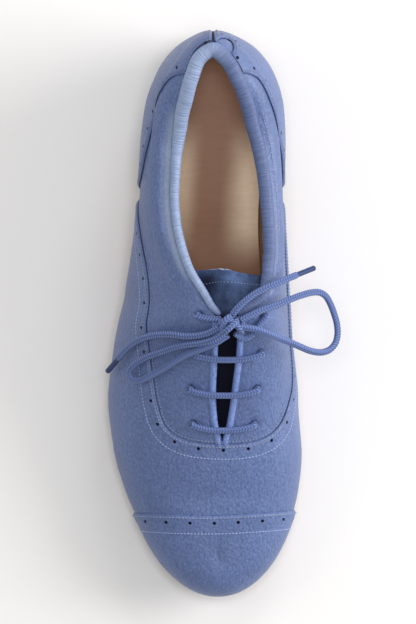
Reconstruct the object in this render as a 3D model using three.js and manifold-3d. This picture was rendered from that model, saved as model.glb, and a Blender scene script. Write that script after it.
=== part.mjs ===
// A right foot's laced oxford tap shoe in soft blue leather: a closed last with a cap toe, a vamp
// stitched over the quarters, heel counters, a padded collar, a leather sole and two metal taps.
// Millimetres. +Z is up, the heel points to +Y, the toe to -Y, and the big toe's side is +X.

import * as THREE from 'three';
import { mergeVertices } from 'three/addons/utils/BufferGeometryUtils.js';
import Module from 'manifold-3d';

const wasm = await Module();
wasm.setup();

// Driving dimensions
const LAST_LENGTH = 259.4;
const BALL_WIDTH = 87.6;
const INSTEP_HEIGHT = 70;
const CUP_HEIGHT = 20;
const FEATHER_INSET = 9;
const HEEL_STACK = 17.4;
const TOE_SPRING = 6.4;
const WALL = 1.8;
const OVERLAY = 1.0;
const GAP = 0.3;
const SOLE_FOREFOOT = 4.2;
const SOLE_SEAT = 3.6;
const SOLE_WELT = 2;
const SOLE_BEVEL = 0.8;
const TAP_THICKNESS = 2.3;
const TAP_INSET = 1.6;
const HEEL_TAPER = 1.5;
const HEEL_REACH = 0.235;
const TOE_TAP_REACH = 0.715;
const TOE_TAP_HOLLOW = 9;
const TOE_TAP_HOLLOW_WIDTH = 75;
const INSOLE_THICKNESS = 2;
const INSOLE_CLEARANCE = 2.2;
const TONGUE_THICKNESS = 2;
const TONGUE_CLEARANCE = 1.2;
const TONGUE_WIDTH = 33;
const TONGUE_TOP = 0.422;
const TONGUE_ROOT = 0.765;
const TONGUE_LIFT = 7;
const TONGUE_FLARE = 0.17;
const TONGUE_CURL = 1.3;
const COLLAR_PAD = 1.6;
const COLLAR_PAD_WIDTH = 15;
const BINDING_RADIUS = 2.7;
const BINDING_CLEARANCE = 0.9;
const BINDING_LEAN = 0.64;
const BINDING_END = 0.49;
const EYELET_RADIUS = 2.4;
const LACE_DIAMETER = 3;
const LACE_LIFT = 0.5;
const LACE_BOW = 2.4;
const LACE_STEP = 6;
const AGLET_LENGTH = 12;
const AGLET_DIAMETER = 2.5;
const SCREW_HEAD_RADIUS = 3.1;
const SCREW_HEAD_HEIGHT = 1.4;
const SCREW_SHANK_RADIUS = 1.4;
const SCREW_LENGTH = 6;
const SCREW_SINK = 0.4;
const TUBE_SIDES = 8;
const EYELET_SIDES = 12;
const HOLLOW_STEPS = 12;

// Sections across the last. share runs from the heel's back to the toe's tip along LAST_LENGTH.
// half, middle and ridge_side are shares of BALL_WIDTH: half the plan width, the place of its middle
// and of the ridge line. rise is a share of the heel's lift, spring of TOE_SPRING, bulge of CUP_HEIGHT
// (the widest line's height over the sole), crown of INSTEP_HEIGHT (the topline or ridge over the
// sole). tuck_out and tuck_in are shares of FEATHER_INSET, and full_out and full_in are how full the
// outer and inner side's curve is, 2 being an ellipse.
const SECTIONS = [
  { share: 0, half: 0, middle: 0.042, ridge_side: 0.052, rise: 1, spring: 0,
    bulge: 0.95, crown: 0.886,
    tuck_out: 0.33, tuck_in: 0.33, full_out: 2, full_in: 2 },
  { share: 0.009, half: 0.101, middle: 0.048, ridge_side: 0.052, rise: 1, spring: 0,
    bulge: 0.95, crown: 0.884,
    tuck_out: 0.33, tuck_in: 0.33, full_out: 2, full_in: 2 },
  { share: 0.035, half: 0.217, middle: 0.053, ridge_side: 0.052, rise: 1, spring: 0,
    bulge: 0.95, crown: 0.865,
    tuck_out: 0.33, tuck_in: 0.34, full_out: 2, full_in: 2 },
  { share: 0.078, half: 0.303, middle: 0.054, ridge_side: 0.052, rise: 1, spring: 0,
    bulge: 0.95, crown: 0.815,
    tuck_out: 0.34, tuck_in: 0.36, full_out: 2, full_in: 2 },
  { share: 0.135, half: 0.354, middle: 0.049, ridge_side: 0.052, rise: 1, spring: 0,
    bulge: 0.94, crown: 0.745,
    tuck_out: 0.36, tuck_in: 0.42, full_out: 2, full_in: 2 },
  { share: 0.206, half: 0.371, middle: 0.041, ridge_side: 0.064, rise: 1, spring: 0,
    bulge: 0.9, crown: 0.69,
    tuck_out: 0.42, tuck_in: 0.6, full_out: 2, full_in: 2.1 },
  { share: 0.287, half: 0.376, middle: 0.031, ridge_side: 0.081, rise: 0.86, spring: 0,
    bulge: 0.85, crown: 0.71,
    tuck_out: 0.5, tuck_in: 0.85, full_out: 2, full_in: 2.3 },
  { share: 0.376, half: 0.395, middle: 0.024, ridge_side: 0.098, rise: 0.51, spring: 0,
    bulge: 0.8, crown: 0.815,
    tuck_out: 0.56, tuck_in: 1, full_out: 1.9, full_in: 2.6 },
  { share: 0.469, half: 0.425, middle: 0.01, ridge_side: 0.119, rise: 0.18, spring: 0,
    bulge: 0.72, crown: 0.955,
    tuck_out: 0.56, tuck_in: 0.95, full_out: 1.8, full_in: 3 },
  { share: 0.506, half: 0.44, middle: 0.003, ridge_side: 0.124, rise: 0.1, spring: 0,
    bulge: 0.68, crown: 1,
    tuck_out: 0.54, tuck_in: 0.86, full_out: 1.8, full_in: 3.1 },
  { share: 0.563, half: 0.463, middle: -0.008, ridge_side: 0.117, rise: 0.02, spring: 0,
    bulge: 0.62, crown: 0.9,
    tuck_out: 0.52, tuck_in: 0.7, full_out: 1.8, full_in: 3.1 },
  { share: 0.655, half: 0.491, middle: -0.01, ridge_side: 0.096, rise: 0, spring: 0,
    bulge: 0.57, crown: 0.74,
    tuck_out: 0.5, tuck_in: 0.54, full_out: 1.9, full_in: 2.8 },
  { share: 0.741, half: 0.486, middle: 0.013, ridge_side: 0.088, rise: 0, spring: 0,
    bulge: 0.54, crown: 0.625,
    tuck_out: 0.5, tuck_in: 0.5, full_out: 2.05, full_in: 2.5 },
  { share: 0.819, half: 0.445, middle: 0.036, ridge_side: 0.078, rise: 0, spring: 0,
    bulge: 0.52, crown: 0.53,
    tuck_out: 0.5, tuck_in: 0.5, full_out: 2.2, full_in: 2.4 },
  { share: 0.885, half: 0.373, middle: 0.053, ridge_side: 0.072, rise: 0, spring: 0.2,
    bulge: 0.5, crown: 0.44,
    tuck_out: 0.5, tuck_in: 0.5, full_out: 2.35, full_in: 2.35 },
  { share: 0.938, half: 0.289, middle: 0.06, ridge_side: 0.069, rise: 0, spring: 0.5,
    bulge: 0.48, crown: 0.35,
    tuck_out: 0.5, tuck_in: 0.5, full_out: 2.4, full_in: 2.4 },
  { share: 0.975, half: 0.189, middle: 0.065, ridge_side: 0.067, rise: 0, spring: 0.78,
    bulge: 0.46, crown: 0.28,
    tuck_out: 0.5, tuck_in: 0.5, full_out: 2.4, full_in: 2.4 },
  { share: 0.994, half: 0.096, middle: 0.067, ridge_side: 0.067, rise: 0, spring: 0.94,
    bulge: 0.45, crown: 0.25,
    tuck_out: 0.5, tuck_in: 0.5, full_out: 2.4, full_in: 2.4 },
  { share: 1, half: 0, middle: 0.067, ridge_side: 0.067, rise: 0, spring: 1,
    bulge: 0.45, crown: 0.25,
    tuck_out: 0.5, tuck_in: 0.5, full_out: 2.4, full_in: 2.4 },
];

// The collar's and the lacing gap's edge: its plan distance from the ridge line on the outer and the
// inner side, as shares of the distance from the ridge line to the widest line. The gap closes at the
// throat.
const EDGES = [
  { share: 0, out: 0.87, in: 0.87 },
  { share: 0.009, out: 0.825, in: 0.775 },
  { share: 0.035, out: 0.68, in: 0.654 },
  { share: 0.078, out: 0.619, in: 0.621 },
  { share: 0.135, out: 0.613, in: 0.641 },
  { share: 0.206, out: 0.624, in: 0.743 },
  { share: 0.287, out: 0.635, in: 0.849 },
  { share: 0.34, out: 0.598, in: 0.869 },
  { share: 0.376, out: 0.54, in: 0.865 },
  { share: 0.42, out: 0.44, in: 0.815 },
  { share: 0.469, out: 0.262, in: 0.69 },
  { share: 0.49, out: 0.193, in: 0.43 },
  { share: 0.502, out: 0.129, in: 0.239 },
  { share: 0.515, out: 0.095, in: 0.168 },
  { share: 0.6, out: 0.077, in: 0.128 },
  { share: 0.656, out: 0.064, in: 0.099 },
  { share: 0.7, out: 0.038, in: 0.055 },
  { share: 0.733, out: 0, in: 0 },
  { share: 1, out: 0, in: 0 },
];

// Eyelets: share along the last, and distance out from the ridge line as shares of BALL_WIDTH.
const EYELETS = [
  { share: 0.505, out: 0.158, in: 0.187 },
  { share: 0.572, out: 0.175, in: 0.177 },
  { share: 0.636, out: 0.175, in: 0.175 },
  { share: 0.699, out: 0.155, in: 0.167 },
];

// Side view of the throat seam, the vamp's upper edge: share along the last, and height over the
// sole on the outer and the inner side as shares of INSTEP_HEIGHT.
const THROAT_SEAM = [
  { share: 0.29, out: 0, in: 0 },
  { share: 0.3, out: 0.18, in: 0.17 },
  { share: 0.322, out: 0.31, in: 0.27 },
  { share: 0.36, out: 0.45, in: 0.35 },
  { share: 0.42, out: 0.6, in: 0.4 },
  { share: 0.495, out: 0.67, in: 0.43 },
  { share: 0.565, out: 0.655, in: 0.44 },
  { share: 0.62, out: 0.635, in: 0.47 },
  { share: 0.665, out: 0.61, in: 0.52 },
  { share: 0.7, out: 0.595, in: 0.56 },
  { share: 0.725, out: 0.61, in: 0.605 },
  { share: 0.74, out: 0.65, in: 0.65 },
];

// Side view of the heel counters' front edge, in the same way. It runs up past the topline.
const COUNTER_SEAM = [
  { share: 0.28, out: 0, in: 0 },
  { share: 0.278, out: 0.16, in: 0.16 },
  { share: 0.266, out: 0.3, in: 0.29 },
  { share: 0.248, out: 0.38, in: 0.37 },
  { share: 0.209, out: 0.455, in: 0.465 },
  { share: 0.166, out: 0.545, in: 0.58 },
  { share: 0.128, out: 0.645, in: 0.67 },
  { share: 0.102, out: 0.7, in: 0.72 },
  { share: 0.087, out: 0.745, in: 0.755 },
  { share: 0.08, out: 0.8, in: 0.8 },
  { share: 0.074, out: 0.9, in: 0.9 },
];

// Plan view of the toe cap's edge: share along the last, side as a share of half BALL_WIDTH.
const CAP_EDGE = [
  { share: 0.852, side: -1.2 },
  { share: 0.858, side: -0.5 },
  { share: 0.86, side: 0.1 },
  { share: 0.855, side: 0.7 },
  { share: 0.848, side: 1.2 },
];

// The bow lies on the instep, so its heights are counted from the instep's top. First its knot, by its
// middle and half sizes.
const KNOT_MIDDLE = [11.4, -5.2, 3.6];
const KNOT_SIZE = new THREE.Vector3(4.5, 4.3, 3.2);

// The lace's free stretches, as points along their middle line: the two runs from the top eyelets to
// the knot, each after its eyelet, the two loops and the two ends.
const RUN_LATERAL = [[-0.4, -2.4, -0.1], [3.6, -3, 0.7], [7.4, -3, 1.1]];
const RUN_MEDIAL = [[25.4, -5.2, -1.3], [22, -9.9, -0.6], [17.8, -11.8, -0.5], [13.8, -9.4, 1.3]];
const LOOP_LATERAL = [[8.6, -9.6, 3.1], [4.3, -12.2, 0.8], [-1, -13.8, -2.3], [-7.5, -14.6, -6.2],
  [-13.8, -15.9, -10.5], [-20, -18, -15.5], [-26.3, -20.3, -21.2], [-31, -22.8, -26.3],
  [-33.9, -25.4, -29.6], [-34.8, -28.4, -31.1], [-33.2, -31, -29.9], [-29.8, -31.3, -26.3],
  [-25.6, -29.3, -22.2], [-20, -26.2, -17.9], [-13.8, -22.4, -12.9], [-7.5, -18.8, -8.1],
  [-1.4, -16.6, -4.3], [5, -13.8, -1.3], [10.6, -10.2, 0.7]];
const LOOP_MEDIAL = [[16.4, -3.4, 4.5], [20.5, -1.4, 4.5], [26.4, 1.3, 3.5], [33, 3.6, 0.9],
  [39.4, 6.2, -2.9], [44.2, 8, -6.3], [49, 9.3, -9.9], [52.6, 9.4, -12.7], [55.5, 7.8, -15.2],
  [57.8, 4.1, -17.6], [59.6, -0.5, -19.5], [60.9, -5.2, -20.6], [61.2, -9.9, -20.9], [60.2, -14, -20.3],
  [57.6, -17, -18.9], [53.7, -18.3, -16.7], [49, -17.7, -14.1], [44.6, -16, -11.5], [40.1, -14, -8.6],
  [34.8, -11.9, -4.9], [29.5, -9.7, 0.3], [24.1, -7.7, 2.9], [16.4, -6.4, 3.9]];
const END_LATERAL = [[6.6, -6.6, 3.1], [0.7, -9.6, -0.6], [-7.5, -10.8, -4.7], [-15.9, -10, -9],
  [-24.2, -10.5, -16.1], [-30.5, -12.6, -23.5], [-34.8, -15.4, -29.6], [-37.7, -18.4, -34.4],
  [-40.1, -21.2, -38.3]];
const END_MEDIAL = [[12.8, -0.6, 4.7], [15.2, 2.4, 5.9], [18.8, 5.7, 6.5], [23, 8.8, 6.4],
  [27.9, 11.4, 5.8], [33.2, 13.6, 3.9], [38.2, 15.8, 0.5], [42, 17.3, -2.9]];

const STATIONS = [0, 0.005, 0.02, 0.05, 0.1, 0.16, HEEL_REACH, 0.3, 0.36, 0.41, 0.455, 0.483, 0.502, 0.535,
  0.59, 0.65, 0.7, 0.737, 0.775, 0.82, 0.86, 0.925, 0.96, 0.984, 0.996, 1].sort((a, b) => a - b);
const ROWS = [0, 0.12, 0.25, 0.4, 0.56, 0.72, 0.86, 0.95, 1];
const HEEL_STATIONS = STATIONS.filter((share) => share <= HEEL_REACH);
const TONGUE_ROWS = [0, 0.3, 0.6, 0.85, 1];
const PLATE_ROWS = [0, 0.5, 1];

// Where the sections fan: in the heel they turn towards HEEL_POLE as far as HEEL_FAN, and past TOE_START
// their ridge points close up.
const HEEL_POLE = 0.15;
const HEEL_FAN = 0.3;
const TOE_START = 0.8;
const TOE_CLOSE = 0.325;

// The profile's lower part starts at this angle of its ellipse, and is drawn in this many steps.
const FEATHER_ANGLE = 0.35;
const PROFILE_STEPS = 48;
const JUST_BELOW = 0.97;
const BINDING_STEPS = 46;

const SEAT_TOP = TAP_THICKNESS + GAP + HEEL_STACK + GAP + SOLE_SEAT;
const FOREFOOT_TOP = TAP_THICKNESS + GAP + SOLE_FOREFOOT;
const OUTER = -1;
const INNER = 1;

// A smooth curve through one column of a table, without overshoot. Shares near the ends are spread
// by an arc, so that the heel and the toe come out round.
function column(table, name) {
  const x = table.map((row) => spread(row.share));
  const y = table.map((row) => row[name]);
  const slope = x.slice(1).map((value, i) => (y[i + 1] - y[i]) / (value - x[i]));
  const tangent = x.map((_, i) => {
    if (i === 0) return slope[0];
    if (i === x.length - 1) return slope[i - 1];
    const product = slope[i - 1] * slope[i];
    return product <= 0 ? 0 : (2 * product) / (slope[i - 1] + slope[i]);
  });
  return (share) => {
    const at = spread(share);
    let i = 0;
    while (i < x.length - 2 && at > x[i + 1]) i += 1;
    const step = x[i + 1] - x[i];
    const t = (at - x[i]) / step;
    const rise = y[i + 1] - y[i];
    const cubic = (tangent[i] + tangent[i + 1]) * step - 2 * rise;
    const square = 3 * rise - (2 * tangent[i] + tangent[i + 1]) * step;
    return y[i] + t * (tangent[i] * step + t * (square + t * cubic));
  };
}

function spread(share) {
  return Math.acos(1 - 2 * THREE.MathUtils.clamp(share, 0, 1)) / Math.PI;
}

const section = Object.fromEntries(
  Object.keys(SECTIONS[0]).filter((name) => name !== 'share').map((name) => [name, column(SECTIONS, name)]),
);
const edge = { [OUTER]: column(EDGES, 'out'), [INNER]: column(EDGES, 'in') };
const fullness = { [OUTER]: section.full_out, [INNER]: section.full_in };
const tuck = { [OUTER]: section.tuck_out, [INNER]: section.tuck_in };

function alongAt(share) {
  return LAST_LENGTH * (0.5 - share);
}

function shareAt(y) {
  return THREE.MathUtils.clamp(0.5 - y / LAST_LENGTH, 0, 1);
}

function soleTop(y) {
  const share = shareAt(y);
  return FOREFOOT_TOP + section.rise(share) * (SEAT_TOP - FOREFOOT_TOP) + section.spring(share) * TOE_SPRING;
}

function soleThickness(y) {
  return THREE.MathUtils.lerp(SOLE_FOREFOOT, SOLE_SEAT, section.rise(shareAt(y)));
}

// The ridge point's share for a station: it follows the station, but closes up in heel and toe.
function ridgeShare(share) {
  if (share < HEEL_FAN) {
    return HEEL_POLE + (share / HEEL_FAN) ** 2 * (HEEL_FAN - HEEL_POLE);
  }
  if (share > TOE_START) {
    const past = (share - TOE_START) / (1 - TOE_START);
    return TOE_START + (1 - TOE_START) * (past - TOE_CLOSE * past * past);
  }
  return share;
}

// The plan of one station: its ridge point, its widest point, the way out and the reach between them.
function stationPlan(side, share) {
  const ridgeAt = ridgeShare(share);
  const ridge = new THREE.Vector2(BALL_WIDTH * section.ridge_side(ridgeAt), alongAt(ridgeAt));
  const widest = new THREE.Vector2(
    BALL_WIDTH * (section.middle(share) + side * section.half(share)),
    alongAt(share),
  );
  const out = widest.clone().sub(ridge);
  const reach = out.length();
  return { ridge, widest, out: out.divideScalar(reach), reach };
}

// One side's profile at a station, from the feather line up to the topline, the lacing gap's edge or
// the ridge, as distances out from the ridge line with heights.
function stationProfile(side, share) {
  const plan = stationPlan(side, share);
  const full = fullness[side](share);
  const inset = FEATHER_INSET * tuck[side](share);
  const feather = plan.widest.clone().addScaledVector(plan.out, -inset);
  const low = soleTop(feather.y) + GAP;
  const wide = soleTop(plan.widest.y) + CUP_HEIGHT * section.bulge(share);
  const crownShare = share < HEEL_FAN ? share : ridgeShare(share);
  const crown = soleTop(alongAt(crownShare)) + INSTEP_HEIGHT * section.crown(crownShare);
  const open = edge[side](share);
  const top = wide + (crown - wide) / (1 - open ** full) ** (1 / full);
  const last = Math.acos(Math.min(1, open ** (full / 2)));
  const points = [];
  for (let i = 0; i <= PROFILE_STEPS; i += 1) {
    const angle = THREE.MathUtils.lerp(FEATHER_ANGLE, Math.PI / 2, i / PROFILE_STEPS);
    points.push(new THREE.Vector2(
      plan.reach - inset * (1 - Math.sin(angle)) / (1 - Math.sin(FEATHER_ANGLE)),
      wide - (wide - low) * Math.cos(angle) / Math.cos(FEATHER_ANGLE),
    ));
  }
  for (let i = 1; i <= PROFILE_STEPS; i += 1) {
    const angle = last * i / PROFILE_STEPS;
    points.push(new THREE.Vector2(
      plan.reach * Math.max(0, Math.cos(angle)) ** (2 / full),
      wide + (top - wide) * Math.sin(angle) ** (2 / full),
    ));
  }
  return { plan, points };
}

// A point of the profile at a fraction of its length, and how far below its top that is.
function alongProfile(points, fraction) {
  const lengths = [0];
  points.slice(1).forEach((point, i) => lengths.push(lengths[i] + point.distanceTo(points[i])));
  const total = lengths[lengths.length - 1];
  const wanted = fraction * total;
  let i = 0;
  while (i < points.length - 2 && lengths[i + 1] < wanted) i += 1;
  const t = (wanted - lengths[i]) / (lengths[i + 1] - lengths[i]);
  return { at: points[i].clone().lerp(points[i + 1], t), below: total - wanted };
}

// How far the padded collar swells, by distance below the topline.
function collarPad(share, below) {
  const fade = THREE.MathUtils.smoothstep(0.5 - share, 0.01, 0.07);
  return below < COLLAR_PAD_WIDTH ? COLLAR_PAD * fade * Math.sin(Math.PI * below / COLLAR_PAD_WIDTH) : 0;
}

function lastPoint(side, share, fraction) {
  const { plan, points } = stationProfile(side, share);
  const { at, below } = alongProfile(points, fraction);
  const out = at.x + collarPad(share, below);
  const place = plan.ridge.clone().addScaledVector(plan.out, out);
  return new THREE.Vector3(place.x, place.y, at.y);
}

// A sheet of triangles over both sides of the shoe, with shared corners joined.
function sheet(point, stations, rows) {
  const corners = [];
  const faces = [];
  const known = new Map();
  const corner = (side, i, j) => {
    const place = point(side, stations[i], rows[j]);
    const key = place.toArray().map((value) => Math.round(value * 1000)).join();
    if (!known.has(key)) {
      known.set(key, corners.length);
      corners.push(place);
    }
    return known.get(key);
  };
  const add = (a, b, c) => {
    if (a !== b && b !== c && c !== a) faces.push([a, b, c]);
  };
  for (const side of [OUTER, INNER]) {
    for (let i = 0; i < stations.length - 1; i += 1) {
      for (let j = 0; j < rows.length - 1; j += 1) {
        const a = corner(side, i, j);
        const b = corner(side, i + 1, j);
        const c = corner(side, i + 1, j + 1);
        const d = corner(side, i, j + 1);
        if (side === OUTER) {
          add(a, b, c);
          add(a, c, d);
        } else {
          add(a, c, b);
          add(a, d, c);
        }
      }
    }
  }
  return { corners, faces };
}

function cornerNormals({ corners, faces }) {
  const normals = corners.map(() => new THREE.Vector3());
  const normal = new THREE.Vector3();
  for (const [a, b, c] of faces) {
    new THREE.Triangle(corners[a], corners[b], corners[c]).getNormal(normal);
    const weight = new THREE.Triangle(corners[a], corners[b], corners[c]).getArea();
    for (const i of [a, b, c]) normals[i].addScaledVector(normal, weight);
  }
  return normals.map((value) => value.normalize());
}

// Closes two copies of a sheet, an upper and a lower one, with a rim between their borders.
function closeSheets(faces, upperCorners, lowerCorners) {
  const count = upperCorners.length;
  const index = [];
  const edges = new Map();
  for (const [a, b, c] of faces) {
    index.push(a, b, c, count + a, count + c, count + b);
    for (const [from, to] of [[a, b], [b, c], [c, a]]) edges.set(`${from},${to}`, [from, to]);
  }
  for (const [from, to] of edges.values()) {
    if (!edges.has(`${to},${from}`)) index.push(to, from, count + from, to, count + from, count + to);
  }
  const geometry = new THREE.BufferGeometry();
  const positions = [...upperCorners, ...lowerCorners].flatMap((corner) => corner.toArray());
  geometry.setAttribute('position', new THREE.Float32BufferAttribute(positions, 3));
  geometry.setIndex(index);
  return geometry;
}

// A wall between two offsets of a sheet, outward being positive.
function thicken(surface, outward, inward) {
  const normals = cornerNormals(surface);
  const shift = (amount) => surface.corners.map(
    (corner, i) => corner.clone().addScaledVector(normals[i], amount),
  );
  return closeSheets(surface.faces, shift(outward), shift(inward));
}

function toSolid(geometry) {
  const bare = geometry.clone();
  bare.deleteAttribute('normal');
  bare.deleteAttribute('uv');
  const merged = mergeVertices(bare, 1e-4);
  return new wasm.Manifold(new wasm.Mesh({
    numProp: 3,
    vertProperties: new Float32Array(merged.attributes.position.array),
    triVerts: new Uint32Array(merged.index.array),
  }));
}

function toGeometry(solid) {
  const mesh = solid.getMesh();
  const geometry = new THREE.BufferGeometry();
  geometry.setAttribute('position', new THREE.BufferAttribute(new Float32Array(mesh.vertProperties), 3));
  geometry.setIndex(new THREE.BufferAttribute(new Uint32Array(mesh.triVerts), 1));
  return geometry;
}

// A closed outline drawn in side view, along and up, run right across the shoe.
function sidePrism(outline, from, to) {
  const shape = new THREE.Shape(outline);
  const geometry = new THREE.ExtrudeGeometry(shape, { depth: to - from, bevelEnabled: false });
  const turn = new THREE.Matrix4().makeBasis(
    new THREE.Vector3(0, 1, 0),
    new THREE.Vector3(0, 0, 1),
    new THREE.Vector3(1, 0, 0),
  );
  return toSolid(geometry.applyMatrix4(turn).translate(from, 0, 0));
}

// A closed outline drawn in plan, run up through the shoe.
function planPrism(outline, from, to) {
  const shape = new THREE.Shape(outline);
  const geometry = new THREE.ExtrudeGeometry(shape, { depth: to - from, bevelEnabled: false });
  return toSolid(geometry.translate(0, 0, from));
}

function smooth(points, steps) {
  return new THREE.SplineCurve(points).getPoints(steps);
}

function seamPoints(table, name) {
  return table.map((row) => {
    const y = alongAt(row.share);
    return new THREE.Vector2(y, soleTop(y) + GAP + INSTEP_HEIGHT * row[name]);
  });
}

// The side outline of the sole's top between two shares, from the toe's end back, raised by the gap.
function soleLine(from, to) {
  const inner = STATIONS.filter((share) => share > from && share < to);
  return [from, ...inner, to].reverse().map((share) => {
    const y = alongAt(share);
    return new THREE.Vector2(y, soleTop(y) + GAP);
  });
}

const surface = sheet(lastPoint, STATIONS, ROWS);

// Where the prisms that cut the overlays end, clear of the shoe.
const ABOVE_ALL = SEAT_TOP + 2 * INSTEP_HEIGHT;
const PAST_SIDE = BALL_WIDTH;
const PAST_TOE = alongAt(1) - BALL_WIDTH / 4;
const PAST_HEEL = alongAt(0) + BALL_WIDTH / 4;

// A tube along a curve, with the given radius.
function tube(points, radius, steps) {
  const ring = Array.from({ length: TUBE_SIDES }, (_, i) => {
    const angle = 2 * Math.PI * i / TUBE_SIDES;
    return new THREE.Vector2(radius * Math.cos(angle), radius * Math.sin(angle));
  });
  return new THREE.ExtrudeGeometry(new THREE.Shape(ring), {
    steps,
    bevelEnabled: false,
    extrudePath: new THREE.CatmullRomCurve3(points),
  });
}

// The profile's point at a given distance out from the ridge line, with the outward normal there.
function surfaceAt(side, share, out) {
  const { plan, points } = stationProfile(side, share);
  let i = points.length - 2;
  while (i > 0 && points[i].x < out) i -= 1;
  const t = THREE.MathUtils.clamp((out - points[i].x) / (points[i + 1].x - points[i].x || 1), 0, 1);
  const at = points[i].clone().lerp(points[i + 1], t);
  const place = plan.ridge.clone().addScaledVector(plan.out, at.x);
  return new THREE.Vector3(place.x, place.y, at.y);
}

function surfaceNormal(side, share, out) {
  const along = surfaceAt(side, share + 0.01, out).sub(surfaceAt(side, share - 0.01, out));
  const across = surfaceAt(side, share, out + 1).sub(surfaceAt(side, share, out - 1));
  const normal = along.cross(across).normalize();
  return normal.z < 0 ? normal.negate() : normal;
}

function makeUpper() {
  let upper = toSolid(thicken(surface, 0, -WALL));
  for (const row of EYELETS) {
    for (const [side, out] of [[OUTER, row.out], [INNER, row.in]]) {
      upper = upper.subtract(punch(side, row.share, out * BALL_WIDTH));
    }
  }
  return toGeometry(upper);
}

// A round punch through the upper's wall at an eyelet.
function punch(side, share, out) {
  const centre = surfaceAt(side, share, out);
  const normal = surfaceNormal(side, share, out);
  const pin = new THREE.CylinderGeometry(EYELET_RADIUS, EYELET_RADIUS, 4 * WALL, EYELET_SIDES);
  const turn = new THREE.Quaternion().setFromUnitVectors(new THREE.Vector3(0, 1, 0), normal);
  pin.applyQuaternion(turn);
  pin.translate(centre.x, centre.y, centre.z);
  return toSolid(pin);
}

// The vamp's side outline differs on the two sides, which meet on the ridge over the toes.
function makeVamp() {
  const ridge = BALL_WIDTH * section.ridge_side(THROAT_SEAM.at(-1).share);
  const outline = (name) => [
    ...smooth(seamPoints(THROAT_SEAM, name), 26),
    new THREE.Vector2(alongAt(THROAT_SEAM.at(-1).share), ABOVE_ALL),
    new THREE.Vector2(PAST_TOE, ABOVE_ALL),
    new THREE.Vector2(PAST_TOE, soleTop(alongAt(1)) + GAP),
    ...soleLine(THROAT_SEAM[0].share, 1).slice(0, -1),
  ];
  const region = sidePrism(outline('out'), -PAST_SIDE, ridge).add(sidePrism(outline('in'), ridge, PAST_SIDE));
  return toGeometry(toSolid(thicken(surface, GAP + OVERLAY, GAP)).intersect(region));
}

function makeCounter(side) {
  const seam = smooth(seamPoints(COUNTER_SEAM, side === INNER ? 'in' : 'out'), 22);
  const outline = [
    ...seam,
    new THREE.Vector2(PAST_HEEL, seam.at(-1).y),
    new THREE.Vector2(PAST_HEEL, SEAT_TOP + GAP),
    ...soleLine(0, COUNTER_SEAM[0].share).reverse().slice(0, -1),
  ];
  const backSeam = BALL_WIDTH * section.middle(0);
  const from = side === INNER ? backSeam + GAP : -PAST_SIDE;
  const to = side === INNER ? PAST_SIDE : backSeam - GAP;
  return toGeometry(toSolid(thicken(surface, GAP + OVERLAY, GAP)).intersect(sidePrism(outline, from, to)));
}

function makeToeCap() {
  const places = CAP_EDGE.map(({ share, side }) => new THREE.Vector2(side * BALL_WIDTH / 2, alongAt(share)));
  const cut = smooth(places, 12);
  const plan = planPrism([
    ...cut,
    new THREE.Vector2(cut.at(-1).x, PAST_TOE),
    new THREE.Vector2(cut[0].x, PAST_TOE),
  ].reverse(), 0, ABOVE_ALL);
  const over = sidePrism([
    new THREE.Vector2(alongAt(TOE_START), ABOVE_ALL),
    new THREE.Vector2(PAST_TOE, ABOVE_ALL),
    new THREE.Vector2(PAST_TOE, soleTop(alongAt(1)) + GAP),
    ...soleLine(TOE_START, 1),
  ], -PAST_SIDE, PAST_SIDE);
  const inner = GAP + OVERLAY + GAP;
  return toGeometry(toSolid(thicken(surface, inner + OVERLAY, inner)).intersect(plan).intersect(over));
}

// The tongue lies under the facings and stands free above them.
function tonguePoint(side, share, fraction) {
  const plan = stationPlan(side, share);
  const full = fullness[side](share);
  const wide = soleTop(plan.widest.y) + CUP_HEIGHT * section.bulge(share);
  const crown = soleTop(plan.ridge.y) + INSTEP_HEIGHT * section.crown(share);
  const free = Math.max(0, (0.5 - share) / (0.5 - TONGUE_TOP));
  const out = TONGUE_WIDTH / 2 * (1 - fraction) * (1 + TONGUE_FLARE * free * free);
  const round = (1 - (out / plan.reach) ** full) ** (1 / full);
  const place = plan.ridge.clone().addScaledVector(plan.out, out);
  const room = Math.max(GAP, plan.reach * edge[side](share) - 2 * BINDING_RADIUS - GAP);
  const arch = Math.max(0, 1 - (out / room) ** 2) ** 2;
  const lift = TONGUE_LIFT * free ** TONGUE_CURL * arch;
  return new THREE.Vector3(place.x, place.y, wide + (crown - wide) * round + lift);
}

function makeTongue() {
  const shares = STATIONS.filter((share) => share > TONGUE_TOP + 0.01 && share < TONGUE_ROOT - 0.01);
  const inside = WALL + TONGUE_CLEARANCE;
  const middle = sheet(tonguePoint, [TONGUE_TOP, ...shares, TONGUE_ROOT], TONGUE_ROWS);
  return thicken(middle, -inside, -inside - TONGUE_THICKNESS);
}

// A plate that follows the shoe's plan. margin is its edge's distance inside the widest line, top and
// bottom each give a face's height along the shoe and how much further in that face's edge is.
function plate(stations, margin, top, bottom) {
  const face = ({ height, inset }) => sheet((side, share, fraction) => {
    const plan = stationPlan(side, share);
    const rim = plan.widest.clone().addScaledVector(plan.out, -margin(side, share) - inset);
    const middleAt = ridgeShare(share);
    const middle = new THREE.Vector2(BALL_WIDTH * section.middle(middleAt), alongAt(middleAt));
    const place = rim.lerp(middle, fraction);
    return new THREE.Vector3(place.x, place.y, height(place.y));
  }, stations, PLATE_ROWS);
  const upper = face(top);
  const lower = face(bottom);
  return closeSheets(upper.faces, upper.corners, lower.corners);
}

function soleMargin(side, share) {
  return FEATHER_INSET * tuck[side](share) - SOLE_WELT;
}

function insoleMargin(side, share) {
  return FEATHER_INSET * tuck[side](share) + INSOLE_CLEARANCE;
}

function tapMargin(side, share) {
  return soleMargin(side, share) + TAP_INSET;
}

function soleBottom(y) {
  return soleTop(y) - soleThickness(y);
}

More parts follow.
